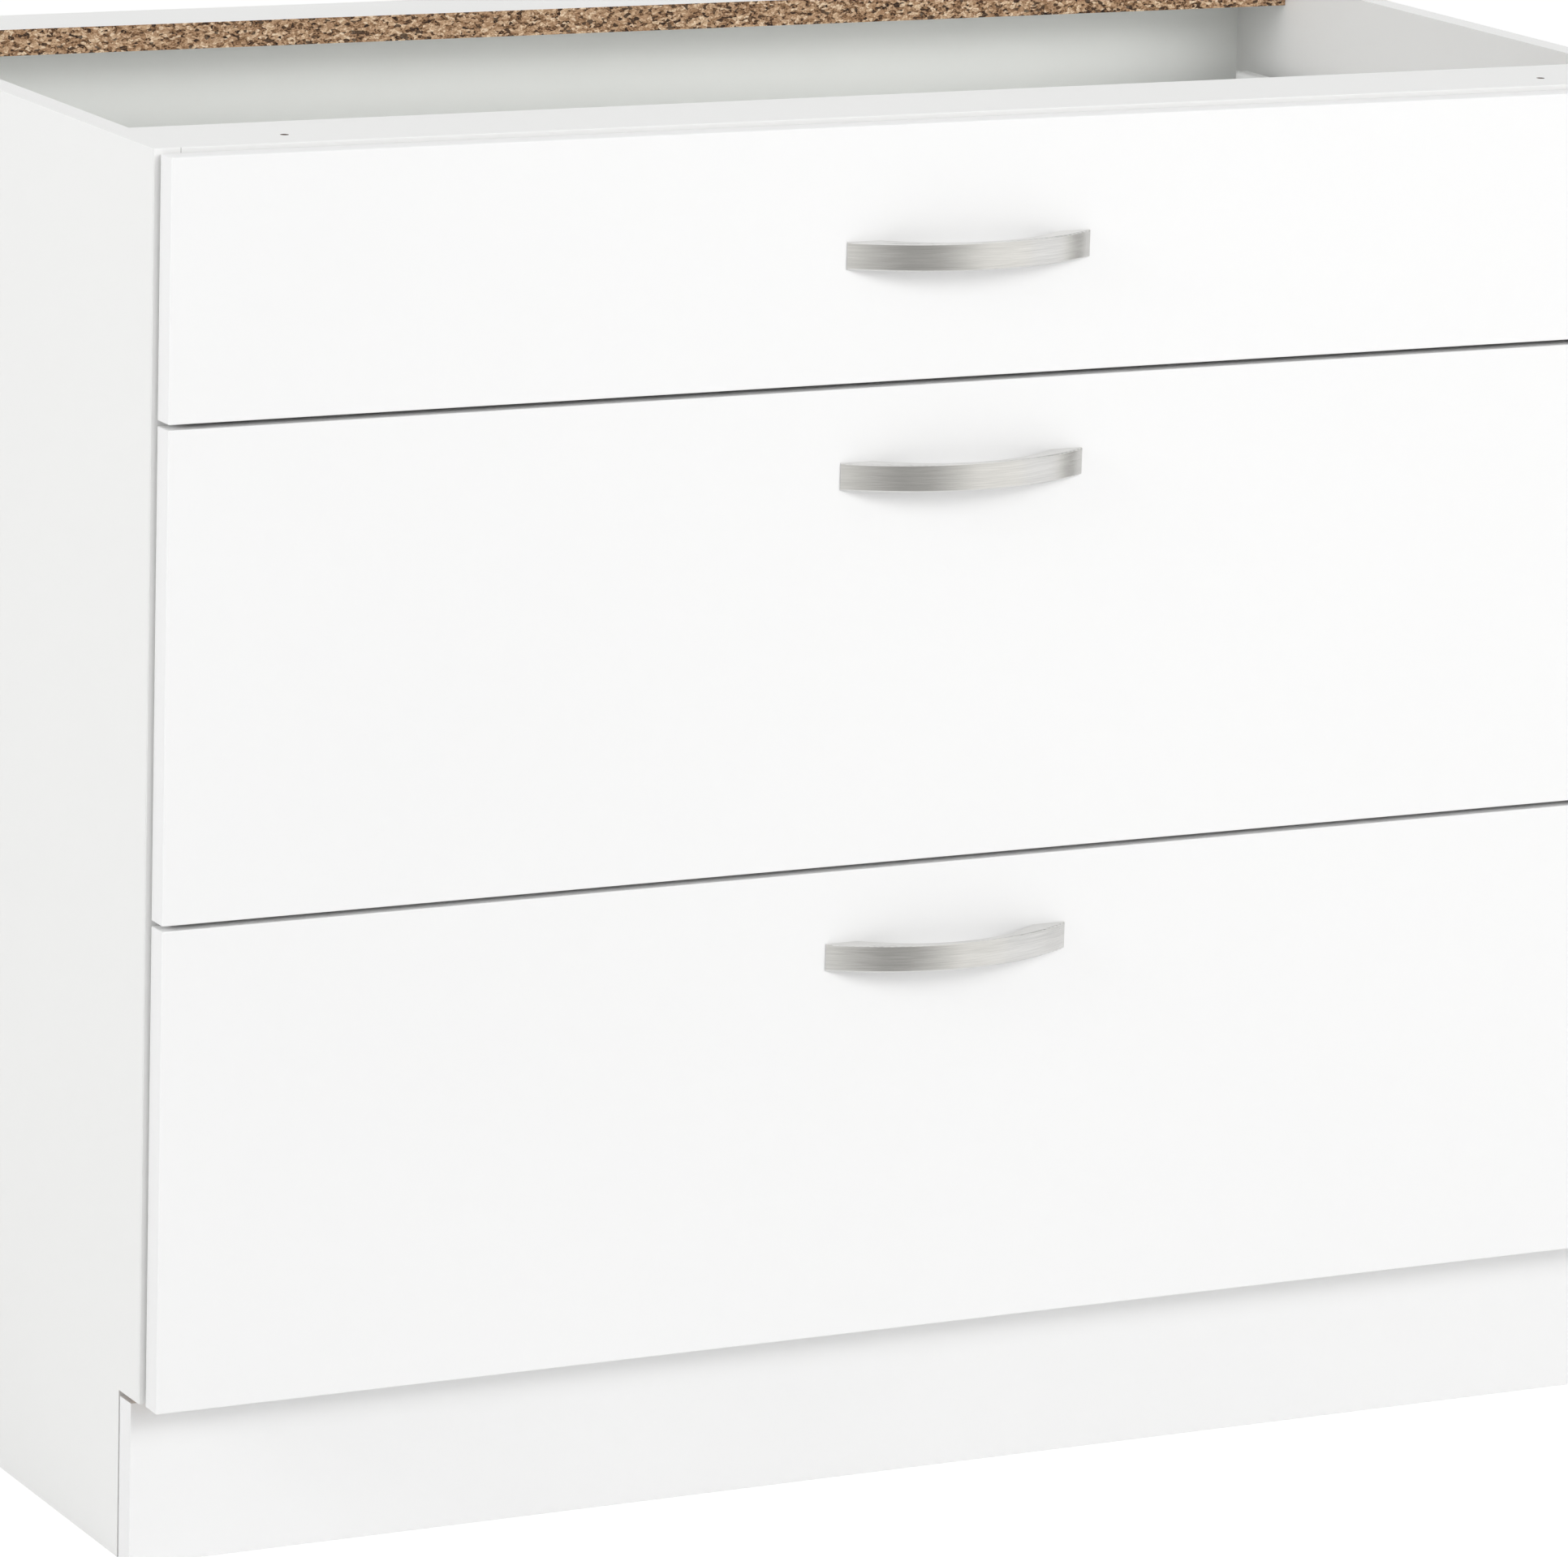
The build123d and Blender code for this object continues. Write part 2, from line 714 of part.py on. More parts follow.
def make_handle_screws(name, handle_z):
    """Two machine screws from inside the drawer through the front."""
    with BuildPart() as screws:
        with Locations(*[facing(1, x, front_back_face, handle_z) for x in handle_hole_x()]):
            Cylinder(handle_screw_head_radius, handle_screw_head_height, align=LOW)
            Cylinder(handle_screw_radius, front_thickness + handle_screw_grip, align=HIGH)
    save_piece(screws, name)


def make_steel_side(name, hand, rail_z):
    """Bent steel side with a hemmed top, a floor flange, a running flange and its rear axle."""
    middle = side_sheet / 2
    top = rail_z + side_height
    web_x = across(hand, web_outer + middle)
    with BuildPart() as steel_side:
        with BuildSketch(Plane.XZ.offset(-drawer_end)):
            with BuildLine():
                FilletPolyline(
                    (web_x, top - middle - side_bend),
                    (web_x, rail_z + floor_lift + middle),
                    (across(hand, web_inner + floor_flange), rail_z + floor_lift + middle),
                    radius=side_bend,
                )
            trace(line_width=side_sheet)
        extrude(amount=drawer_end - front_back_face)
        with BuildSketch(Plane.XZ.offset(-hem_end)):
            with BuildLine():
                FilletPolyline(
                    (web_x, top - hem_lip - side_bend),
                    (web_x, top - middle),
                    (across(hand, web_inner + hem_width - middle), top - middle),
                    (across(hand, web_inner + hem_width - middle), top - hem_lip),
                    radius=side_bend,
                )
            trace(line_width=side_sheet)
        extrude(amount=hem_end - front_back_face)
        flange_low = rail_z + running_flange_height
        block(
            (across(hand, rail_sheet + 2 * fit_clearance), across(hand, web_outer + middle)),
            (front_back_face + front_stand_off, drawer_end),
            (flange_low, flange_low + side_sheet),
        )
        axle_z = rail_z + rear_roller_height
        with Locations(inward(hand, web_outer, rear_axle_y, axle_z)):
            Cylinder(collar_radius, web_outer - roller_outer - roller_gap, align=HIGH)
            Cylinder(axle_radius, web_outer - collar_gap, align=HIGH)
        with Locations(inward(hand, collar_gap, rear_axle_y, axle_z)):
            Cylinder(collar_radius, collar_thickness, align=HIGH)
        drill(side_to_back_planes(rail_z), screw_radius + fit_clearance, side_sheet)
        drill(floor_screw_planes(rail_z), screw_radius + fit_clearance, side_sheet)
    save_piece(steel_side, name)


def make_floor(name, rail_z):
    """Chipboard drawer floor on the steel sides' flanges."""
    with BuildPart() as floor:
        block(
            (-floor_half, floor_half),
            (front_back_face, drawer_end),
            (rail_z + floor_underside, rail_z + floor_top),
        )
        drill(floor_screw_planes(rail_z), screw_radius + fit_clearance, plate_screw_length)
        drill(floor_to_back_planes(rail_z), screw_radius + fit_clearance, board)
        countersink(floor_to_back_planes(rail_z), back_thickness)
    save_piece(floor, name)


def make_back_board(name, rail_z, height, deep):
    """Chipboard back that stands on the drawer floor."""
    with BuildPart() as back:
        block(
            (-floor_half, floor_half),
            (back_board_front, drawer_end),
            (rail_z + floor_top, rail_z + floor_top + height),
        )
        drill(side_to_back_planes(rail_z), screw_radius + fit_clearance, edge_screw_length)
        drill(floor_to_back_planes(rail_z), screw_radius + fit_clearance, floor_to_back_screw_length)
        if deep:
            drill(cup_screw_planes(rail_z, -1), screw_radius + fit_clearance, plate_screw_length)
    save_piece(back, name)


def make_front_brackets(name, rail_z):
    """Steel angles that carry the front on the two steel sides."""
    low = rail_z + floor_top + bracket_lift
    z_range = (low, low + bracket_height)
    with BuildPart() as brackets:
        for hand in hands.values():
            block(
                (across(hand, web_inner), across(hand, web_inner + side_sheet)),
                (front_back_face, front_back_face + bracket_leg),
                z_range,
            )
            block(
                (across(hand, web_inner), across(hand, web_inner + bracket_plate)),
                (front_back_face, front_back_face + side_sheet),
                z_range,
            )
        drill(bracket_screw_planes(rail_z), screw_radius + fit_clearance, side_sheet)
    save_piece(brackets, name)


def make_box_screws(name, rail_z, deep):
    """All wood screws of one drawer box."""
    with BuildPart() as screws:
        plates = bracket_screw_planes(rail_z) + floor_screw_planes(rail_z)
        if deep:
            plates += cup_screw_planes(rail_z, 1) + cup_screw_planes(rail_z, -1)
        pan_head_screws(plates, plate_screw_length)
        pan_head_screws(side_to_back_planes(rail_z), edge_screw_length)
        flush_screws(floor_to_back_planes(rail_z), floor_to_back_screw_length, back_thickness)
    save_piece(screws, name)


def make_gallery(drawer, rail_z):
    """Two gallery rods and the four cups that hold them."""
    z = rod_height(rail_z)
    start = front_back_face + cup_length - cup_socket
    end = back_board_front - cup_length + cup_socket
    with BuildPart() as rods:
        with Locations(*[facing(1, across(hand, rod_inset), start, z) for hand in hands.values()]):
            Cylinder(rod_radius, end - start, align=LOW)
    save_piece(rods, f"{drawer}_gallery_rods")
    with BuildPart() as cups:
        with Locations(*cup_places(rail_z)):
            Box(cup_plate_width, cup_plate_height, cup_plate_thickness, align=LOW)
            Cylinder(cup_radius, cup_length, align=LOW)
        socket_mouths = [plane.offset(cup_length) for plane in cup_places(rail_z)]
        drill(socket_mouths, rod_radius + fit_clearance, cup_socket)
        all_cup_screws = cup_screw_planes(rail_z, 1) + cup_screw_planes(rail_z, -1)
        drill(all_cup_screws, screw_radius + fit_clearance, cup_plate_thickness)
    save_piece(cups, f"{drawer}_gallery_cups")


for drawer, (front_z, front_height, rail_z) in drawers.items():
    deep = drawer != "top"
    handle_drop = deep_handle_drop if deep else front_height / 2
    handle_z = front_z + front_height - handle_drop
    back_height = deep_back_height if deep else side_height - back_drop - floor_top
    make_front(f"{drawer}_drawer_front", front_z, front_height, rail_z, handle_z, deep)
    make_handle(f"{drawer}_handle", handle_z)
    make_handle_screws(f"{drawer}_handle_screws", handle_z)
    for side, hand in hands.items():
        make_steel_side(f"{drawer}_drawer_side_{side}", hand, rail_z)
    make_floor(f"{drawer}_drawer_floor", rail_z)
    make_back_board(f"{drawer}_drawer_back", rail_z, back_height, deep)
    make_front_brackets(f"{drawer}_front_brackets", rail_z)
    make_box_screws(f"{drawer}_box_screws", rail_z, deep)
    make_roller_pair(f"{drawer}_rear_rollers", rear_axle_y, rail_z + rear_roller_height)
    if deep:
        make_gallery(drawer, rail_z)

print("overall depth", overall_depth, "carcass front y", carcass_front, "drawer travel", drawer_travel)
for drawer, values in drawers.items():
    print(drawer, "front z, height and rail z:", values)
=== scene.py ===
import json
import math

import bmesh
import bpy
from mathutils import Matrix, Vector

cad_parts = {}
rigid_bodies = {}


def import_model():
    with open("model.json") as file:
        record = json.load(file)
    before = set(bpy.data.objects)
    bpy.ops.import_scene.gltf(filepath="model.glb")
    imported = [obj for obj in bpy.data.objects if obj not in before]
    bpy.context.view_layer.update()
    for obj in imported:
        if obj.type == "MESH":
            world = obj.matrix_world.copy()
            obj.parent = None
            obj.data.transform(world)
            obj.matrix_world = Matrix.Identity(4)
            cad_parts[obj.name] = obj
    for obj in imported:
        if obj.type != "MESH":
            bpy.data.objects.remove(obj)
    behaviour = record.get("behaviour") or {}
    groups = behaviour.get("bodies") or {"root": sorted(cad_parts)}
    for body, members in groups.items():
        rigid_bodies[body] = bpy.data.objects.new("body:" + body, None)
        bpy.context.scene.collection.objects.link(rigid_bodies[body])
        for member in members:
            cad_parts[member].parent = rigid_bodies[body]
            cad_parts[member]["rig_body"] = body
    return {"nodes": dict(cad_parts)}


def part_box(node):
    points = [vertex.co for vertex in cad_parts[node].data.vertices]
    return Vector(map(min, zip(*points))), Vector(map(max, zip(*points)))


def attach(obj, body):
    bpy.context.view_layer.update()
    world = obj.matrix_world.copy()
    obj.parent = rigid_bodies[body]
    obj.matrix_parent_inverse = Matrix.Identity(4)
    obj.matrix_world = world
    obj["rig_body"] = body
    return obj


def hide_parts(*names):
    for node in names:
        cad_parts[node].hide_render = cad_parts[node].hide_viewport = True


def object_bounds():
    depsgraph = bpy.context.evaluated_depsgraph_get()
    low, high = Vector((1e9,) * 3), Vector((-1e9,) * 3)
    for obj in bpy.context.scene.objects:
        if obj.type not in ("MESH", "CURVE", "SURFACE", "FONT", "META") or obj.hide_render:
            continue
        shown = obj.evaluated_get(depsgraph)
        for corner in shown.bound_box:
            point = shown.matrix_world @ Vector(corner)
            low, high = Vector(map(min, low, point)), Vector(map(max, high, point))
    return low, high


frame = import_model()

cad_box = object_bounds()

bl_info = {
    "name": "Base Cabinet With Drawers",
    "version": (1, 0, 0),
    "blender": (4, 5, 0),
    "location": "View3D > Sidebar > Base Cabinet",
    "description": "Finishes and fasteners of a kitchen base unit with three drawers",
    "category": "Object",
}

NODES = frame["nodes"]
DRAWERS = ("top", "middle", "bottom")
DEEP_DRAWERS = ("middle", "bottom")
HANDS = ("left", "right")

UP = (0.0, 0.0, 1.0)
DOWN = (0.0, 0.0, -1.0)
TO_FRONT = (0.0, -1.0, 0.0)
TO_BACK = (0.0, 1.0, 0.0)

WHITE = (1.0, 1.0, 1.0)
BLACK = (0.0, 0.0, 0.0)

SAME_POINT = 1e-6  # points closer together than this, in metres, are one point


# ---------------------------------------------------------------- sizes and colours
def colour(name, description, value):
    """A colour setting with its default."""
    return bpy.props.FloatVectorProperty(
        name=name, description=description, subtype="COLOR", size=3, min=0, max=1, default=value
    )


def length(name, description, value):
    """A length setting in metres with its default."""
    return bpy.props.FloatProperty(
        name=name,
        description=description,
        subtype="DISTANCE",
        unit="LENGTH",
        min=0,
        precision=5,
        default=value,
    )


def angle(name, description, degrees):
    """An angle setting with its default in degrees."""
    return bpy.props.FloatProperty(
        name=name, description=description, subtype="ANGLE", default=math.radians(degrees)
    )


def amount(name, description, value):
    """A plain number setting with its default."""
    return bpy.props.FloatProperty(name=name, description=description, default=value)


class CabinetColours(bpy.types.PropertyGroup):
    """Colours of the cabinet's finishes."""

    fronts: colour("Fronts", "Satin foil of the drawer fronts", (0.90, 0.90, 0.898))
    boards: colour("Boards", "Melamine faces of the panels", (0.885, 0.886, 0.874))
    bands: colour("Edge bands", "Thin bands on the front edges", (0.915, 0.915, 0.905))
    # painted shade: the dark band-joint colour stands in for the shade in the fine groove where two bands
    # meet
    joint: colour("Band joints", "Shadow in the fine joints between edge bands", (0.40, 0.39, 0.38))
    back_inside: colour("Back, inside", "Coated face of the back panel", (0.92, 0.936, 0.91))
    back_outside: colour("Back, outside", "Bare fibre face of the back panel", (0.33, 0.215, 0.13))
    # painted shade: the hole walls' colour is bare chipboard brown darkened to stand for the shade inside the
    # pilot holes
    shaded_holes: colour("Drilled walls", "Dark chipboard inside the pilot holes", (0.10, 0.062, 0.036))
    steel: colour("White steel", "Powder coat of rails and drawer sides", (0.90, 0.905, 0.90))
    handles: colour("Handles", "Brushed metal of the bow handles", (0.76, 0.755, 0.74))
    zinc: colour("Zinc", "Bright zinc of screws and small brackets", (0.66, 0.68, 0.70))
    cast_zinc: colour("Cast zinc", "Dull grey of the cam locks", (0.42, 0.42, 0.43))
    nylon: colour("Rollers", "Off-white nylon of the rollers", (0.80, 0.79, 0.75))
    cups: colour("Rod cups", "White plastic of the rod cups", (0.82, 0.82, 0.81))
    beech: colour("Dowels", "Bare beech of the dowels", (0.56, 0.37, 0.21))


class CabinetDetails(bpy.types.PropertyGroup):
    """Sizes of the small details."""

    edge_bevel: length("Edge bevel", "Broken edge of every board", 0.00035)
    # width of the painted shade line at each joint between two edge bands
    joint_width: length("Band joint", "Width of the joint between two edge bands", 0.0004)
    recess_reach: length("Recess reach", "Half the length of the cross in a wood screw's head", 0.0021)
    recess_width: length("Recess width", "Half the width of the cross's arms", 0.0005)
    recess_depth: length("Recess depth", "Depth of the cross", 0.0011)
    thread_pitch: length("Wood thread pitch", "Pitch of the wood screws", 0.0016)
    thread_depth: length("Wood thread depth", "Depth of the wood screws' thread", 0.0005)
    machine_pitch: length("Machine thread pitch", "Pitch of the handle screws", 0.0007)
    machine_depth: length("Machine thread depth", "Depth of the handle screws' thread", 0.0003)
    flute_depth: length("Dowel flute", "Depth of the dowels' flutes", 0.00025)
    dowel_chamfer: length("Dowel chamfer", "Chamfer on the dowels' ends", 0.0012)


class CabinetStudio(bpy.types.PropertyGroup):
    """Camera, lamps and floor."""

    camera_place: bpy.props.FloatVectorProperty(
        name="Camera place",
        description="Where the camera stands",
        subtype="TRANSLATION",
        unit="LENGTH",
        default=(-2.267, -4.471, 1.5216),
    )
    camera_turn: angle("Camera turn", "Turn to the right from straight ahead", 27.118)
    camera_tilt: angle("Camera tilt", "Tilt down", 12.886)
    camera_roll: angle("Camera roll", "Roll about the line of sight", 1.685)
    focal_length: amount("Focal length", "Lens in millimetres, on a sensor 36 mm wide", 192.9)
    room_light: amount("Room light", "Level of the light from all around", 0.585)
    front_lamp: amount("Front lamp", "Power of the lamp in front in watts", 60.0)
    right_lamp: amount("Right lamp", "Power of the lamp at the front right in watts", 106.0)
    left_lamp: amount("Left lamp", "Power of the lamp at the left in watts", 50.0)
    rear_lamp: amount("Rear lamp", "Power of the lamp behind on the right in watts", 62.0)
    floor_size: length("Floor size", "Width of the floor", 60.0)


def colours():
    """The colour settings of this scene."""
    return bpy.context.scene.cabinet_colours


def details():
    """The detail sizes of this scene."""
    return bpy.context.scene.cabinet_details


def new_object(name, data):
    """A new object that holds this data, in the scene."""
    item = bpy.data.objects.new(name, data)
    bpy.context.scene.collection.objects.link(item)
    return item


# ---------------------------------------------------------------- node helpers
def blank_tree(owner):
    """The emptied node tree of a material or a world."""
    owner.use_nodes = True
    owner.node_tree.nodes.clear()
    return owner.node_tree


def fill(tree, socket, value):
    """Link a socket to an output, or set its value."""
    if isinstance(value, bpy.types.NodeSocket):
        tree.links.new(value, socket)
    else:
        socket.default_value = value


def add(tree, kind, inputs=None, **settings):
    """Add a node, set its options, and fill its inputs with values or links."""
    node = tree.nodes.new("ShaderNode" + kind)
    for option, value in settings.items():
        setattr(node, option, value)
    for key, value in (inputs or {}).items():
        fill(tree, node.inputs[key], value)
    return node


def maths(tree, operation, first, second=0.0):
    """Output of a Math node with one or two inputs."""
    return add(tree, "Math", {0: first, 1: second}, operation=operation).outputs[0]


def weighted_sum(tree, first, first_weight, second, second_weight):
    """Output with the sum of two values, each times its own weight."""
    one = maths(tree, "MULTIPLY", first, first_weight)
    other = maths(tree, "MULTIPLY", second, second_weight)
    return maths(tree, "ADD", one, other)


def vector_maths(tree, operation, first, second, output="Vector"):
    """Output of a Vector Math node with two inputs."""
    return add(tree, "VectorMath", {0: first, 1: second}, operation=operation).outputs[output]


def spread(tree, value, low, high):
    """Output that runs from low to high as the value goes from 0 to 1."""
    return add(tree, "MapRange", {"Value": value, "To Min": low, "To Max": high}).outputs["Result"]


def blend_colours(tree, factor, first, second):
    """Output of a colour mix."""
    node = add(tree, "Mix", data_type="RGBA")
    for socket, value in ((node.inputs[0], factor), (node.inputs[6], first), (node.inputs[7], second)):
        fill(tree, socket, value)
    return node.outputs[2]


def ramp(tree, value, stops):
    """Output of a colour ramp with stops of (position, colour)."""
    node = add(tree, "ValToRGB", {"Fac": value})
    elements = node.color_ramp.elements
    while len(elements) < len(stops):
        elements.new(1.0)
    for element, (position, tint) in zip(elements, stops):
        element.position = position
        element.color = (*tint, 1)
    return node.outputs["Color"]


def place_in_object(tree):
    """Output with the place of a surface point in its own object, in metres."""
    return add(tree, "TexCoord").outputs["Object"]


def opaque(tint, level=1.0):
    """A colour of three values, scaled, with full alpha."""
    return (*(min(1.0, channel * level) for channel in tint), 1)


def bump(tree, height, distance):
    """Normal of a Bump node: its distance is the real depth of the relief."""
    return add(tree, "Bump", {"Height": height, "Distance": distance}).outputs["Normal"]


# ---------------------------------------------------------------- shared effects
def new_effect(name, inputs, outputs):
    """A new effect group, and the nodes at its two ends.

    Its inputs are given as (label, kind, value), and its outputs as (label, kind).
    """
    tree = bpy.data.node_groups.new(name, "ShaderNodeTree")
    for label, kind, value in inputs:
        tree.interface.new_socket(label, in_out="INPUT", socket_type=kind).default_value = value
    for label, kind in outputs:
        tree.interface.new_socket(label, in_out="OUTPUT", socket_type=kind)
    return tree, tree.nodes.new("NodeGroupInput"), tree.nodes.new("NodeGroupOutput")


def make_pearl(name):
    """Fine pearl of melamine, foil and powder coat, and slow mottling over a whole surface."""
    tree, start, end = new_effect(
        name,
        [("Pearl Scale", "NodeSocketFloat", 900.0), ("Mottle Scale", "NodeSocketFloat", 5.0)],
        [("Height", "NodeSocketFloat"), ("Mottle", "NodeSocketFloat")],
    )
    spot = place_in_object(tree)
    pearl_scale, mottle_scale = start.outputs[0], start.outputs[1]
    fine = add(tree, "TexNoise", {"Vector": spot, "Scale": pearl_scale, "Detail": 2.0, "Roughness": 0.55})
    slow = add(tree, "TexNoise", {"Vector": spot, "Scale": mottle_scale, "Detail": 3.0, "Roughness": 0.6})
    tree.links.new(fine.outputs["Fac"], end.inputs["Height"])
    tree.links.new(slow.outputs["Fac"], end.inputs["Mottle"])
    return tree


FLAKE_TONES = (  # from painted shade in the deep pits to the palest flakes
    (0.14, (0.020, 0.009, 0.005)),
    (0.24, (0.115, 0.056, 0.026)),
    (0.40, (0.34, 0.193, 0.099)),
    (0.58, (0.50, 0.315, 0.186)),
    (0.74, (0.67, 0.465, 0.29)),
    (0.88, (0.88, 0.71, 0.52)),
)
# painted shade: near-black tone of the hollows between flakes, standing in for the shade inside them
HOLLOW_SHADE_TONE = (0.028, 0.013, 0.007, 1)
HOLLOW_STRENGTH = 0.85  # how far the painted shade of the hollows covers the flake
SOLID_SHARE = 0.93  # share of the flakes that aren't hollows
BEND_SCALE = 0.6  # bends in the outlines, for each flake
SMALL_CHIPS = 2.3  # small chips along each flake
FLAKE_WEIGHT, CHIP_WEIGHT = 0.62, 0.38  # what flakes and small chips add to the tone
PIT_SLOPE = -0.5  # change of height away from a small chip's middle


def make_flakes(name):
    """Pressed flakes, small chips and hollows painted dark as shade, as the cut edge of a chipboard panel
    shows them.
    """
    tree, start, end = new_effect(
        name,
        [("Flakes Per Metre", "NodeSocketVector", (360.0, 360.0, 620.0))],
        [("Color", "NodeSocketColor"), ("Height", "NodeSocketFloat")],
    )
    stretched = vector_maths(tree, "MULTIPLY", place_in_object(tree), start.outputs[0])
    wander = add(tree, "TexNoise", {"Vector": stretched, "Scale": BEND_SCALE, "Detail": 2.0}).outputs["Color"]
    bent = vector_maths(tree, "ADD", stretched, wander)
    flakes = add(tree, "TexVoronoi", {"Vector": bent, "Scale": 1.0})
    chips = add(tree, "TexVoronoi", {"Vector": bent, "Scale": SMALL_CHIPS})
    large, _, chance = add(tree, "SeparateColor", {"Color": flakes.outputs["Color"]}).outputs
    small = add(tree, "SeparateColor", {"Color": chips.outputs["Color"]}).outputs[1]
    tone = weighted_sum(tree, large, FLAKE_WEIGHT, small, CHIP_WEIGHT)
    # painted shade: some flakes become hollows with a near-black tone
    hollow_shade = maths(tree, "MULTIPLY", maths(tree, "GREATER_THAN", chance, SOLID_SHARE), HOLLOW_STRENGTH)
    tint = blend_colours(tree, hollow_shade, ramp(tree, tone, FLAKE_TONES), HOLLOW_SHADE_TONE)
    pits = maths(tree, "ADD", tone, maths(tree, "MULTIPLY", chips.outputs["Distance"], PIT_SLOPE))
    tree.links.new(tint, end.inputs["Color"])
    tree.links.new(pits, end.inputs["Height"])
    return tree


BAND_SCALE = 0.12  # number of wide bands for each fine line


def make_streaks(name):
    """Long fine lines along one direction, left by a brush, a roller or wood fibres."""
    tree, start, end = new_effect(
        name,
        [("Lines Per Metre", "NodeSocketVector", (12.0, 2500.0, 2500.0))],
        [("Lines", "NodeSocketFloat"), ("Bands", "NodeSocketFloat")],
    )
    stretched = vector_maths(tree, "MULTIPLY", place_in_object(tree), start.outputs[0])
    lines = add(tree, "TexNoise", {"Vector": stretched, "Scale": 1.0, "Detail": 3.0, "Roughness": 0.65})
    bands = add(tree, "TexNoise", {"Vector": stretched, "Scale": BAND_SCALE, "Detail": 2.0})
    tree.links.new(lines.outputs["Fac"], end.inputs["Lines"])
    tree.links.new(bands.outputs["Fac"], end.inputs["Bands"])
    return tree


FACES_ALONG = 0.7  # a face looks along a direction when its normal has more than this share of it


def make_facing(name):
    """Mask of the faces that look along a direction, such as the cut edges of a panel."""
    tree, start, end = new_effect(
        name, [("Direction", "NodeSocketVector", UP)], [("Mask", "NodeSocketFloat")]
    )
    normal = add(tree, "TexCoord").outputs["Normal"]
    along = vector_maths(tree, "DOT_PRODUCT", normal, start.outputs[0], "Value")
    tree.links.new(maths(tree, "GREATER_THAN", along, FACES_ALONG), end.inputs["Mask"])
    return tree


HOLE_INSET = 0.001  # holes lie at least this far inside a board's outline
UPRIGHT_LIMIT = 0.5  # a wall is upright when its normal rises less than this


def make_drilled(name):
    """Mask of the walls of holes that are bored down through a flat board between two corners, where the
    board's material paints shade.
    """
    tree, start, end = new_effect(
        name,
        [("Low", "NodeSocketVector", (0.0, 0.0, 0.0)), ("High", "NodeSocketVector", (0.0, 0.0, 0.0))],
        [("Mask", "NodeSocketFloat")],
    )
    where = add(tree, "TexCoord").outputs
    from_low = vector_maths(tree, "SUBTRACT", where["Object"], start.outputs[0])
    from_high = vector_maths(tree, "SUBTRACT", start.outputs[1], where["Object"])
    nearest = add(tree, "SeparateXYZ", {0: vector_maths(tree, "MINIMUM", from_low, from_high)}).outputs
    inside = maths(tree, "GREATER_THAN", maths(tree, "MINIMUM", nearest["X"], nearest["Y"]), HOLE_INSET)
    rise = maths(tree, "ABSOLUTE", add(tree, "SeparateXYZ", {0: where["Normal"]}).outputs["Z"])
    wall = maths(tree, "LESS_THAN", rise, UPRIGHT_LIMIT)
    tree.links.new(maths(tree, "MULTIPLY", inside, wall), end.inputs["Mask"])
    return tree


EFFECTS = {
    "fine_pearl": make_pearl,
    "pressed_flakes": make_flakes,
    "long_streaks": make_streaks,
    "faces_along": make_facing,
    "drilled_walls": make_drilled,
}


def place(tree, effect, **values):
    """Put a shared effect in a material with its own values; the first material to ask has it built."""
    node = tree.nodes.new("ShaderNodeGroup")
    node.node_tree = bpy.data.node_groups.get(effect) or EFFECTS[effect](effect)
    for label, value in values.items():
        node.inputs[label.replace("_", " ")].default_value = value
    return node.outputs


# ---------------------------------------------------------------- materials
def new_finish(name, **values):
    """A material whose shader has these values: returns it with its node tree and its shader."""
    material = bpy.data.materials.new(name)
    tree = blank_tree(material)
    shader = add(tree, "BsdfPrincipled", {label.replace("_", " "): value for label, value in values.items()})
    add(tree, "OutputMaterial", {"Surface": shader.outputs[0]})
    return material, tree, shader


def connect(tree, shader, colour_output, roughness, normal):
    """Link the outputs that vary over a surface to its shader."""
    tree.links.new(colour_output, shader.inputs["Base Color"])
    tree.links.new(roughness, shader.inputs["Roughness"])
    tree.links.new(normal, shader.inputs["Normal"])


def mottled(tree, pearl, tint, levels):
    """A tint that varies slowly between two levels."""
    return blend_colours(tree, pearl["Mottle"], opaque(tint, levels[0]), opaque(tint, levels[1]))


def coated(name, tint, pearl_scale, mottle_scale, levels, roughness, relief, **values):
    """A plain coat: fine pearl as its relief, and slow mottling between two colour and roughness levels."""
    material, tree, shader = new_finish(name, **values)
    pearl = place(tree, "fine_pearl", Pearl_Scale=pearl_scale, Mottle_Scale=mottle_scale)
    rough = spread(tree, pearl["Mottle"], *roughness)
    connect(tree, shader, mottled(tree, pearl, tint, levels), rough, bump(tree, pearl["Height"], relief))
    return material


BOARD_RELIEF = 0.0003  # depth that a height of 1 stands for on a board
PEARL_HEIGHT, FLAKE_HEIGHT = 0.12, 1.6  # heights of the coat's pearl and of the bare flakes
FLAKE_ROUGHNESS = 0.85


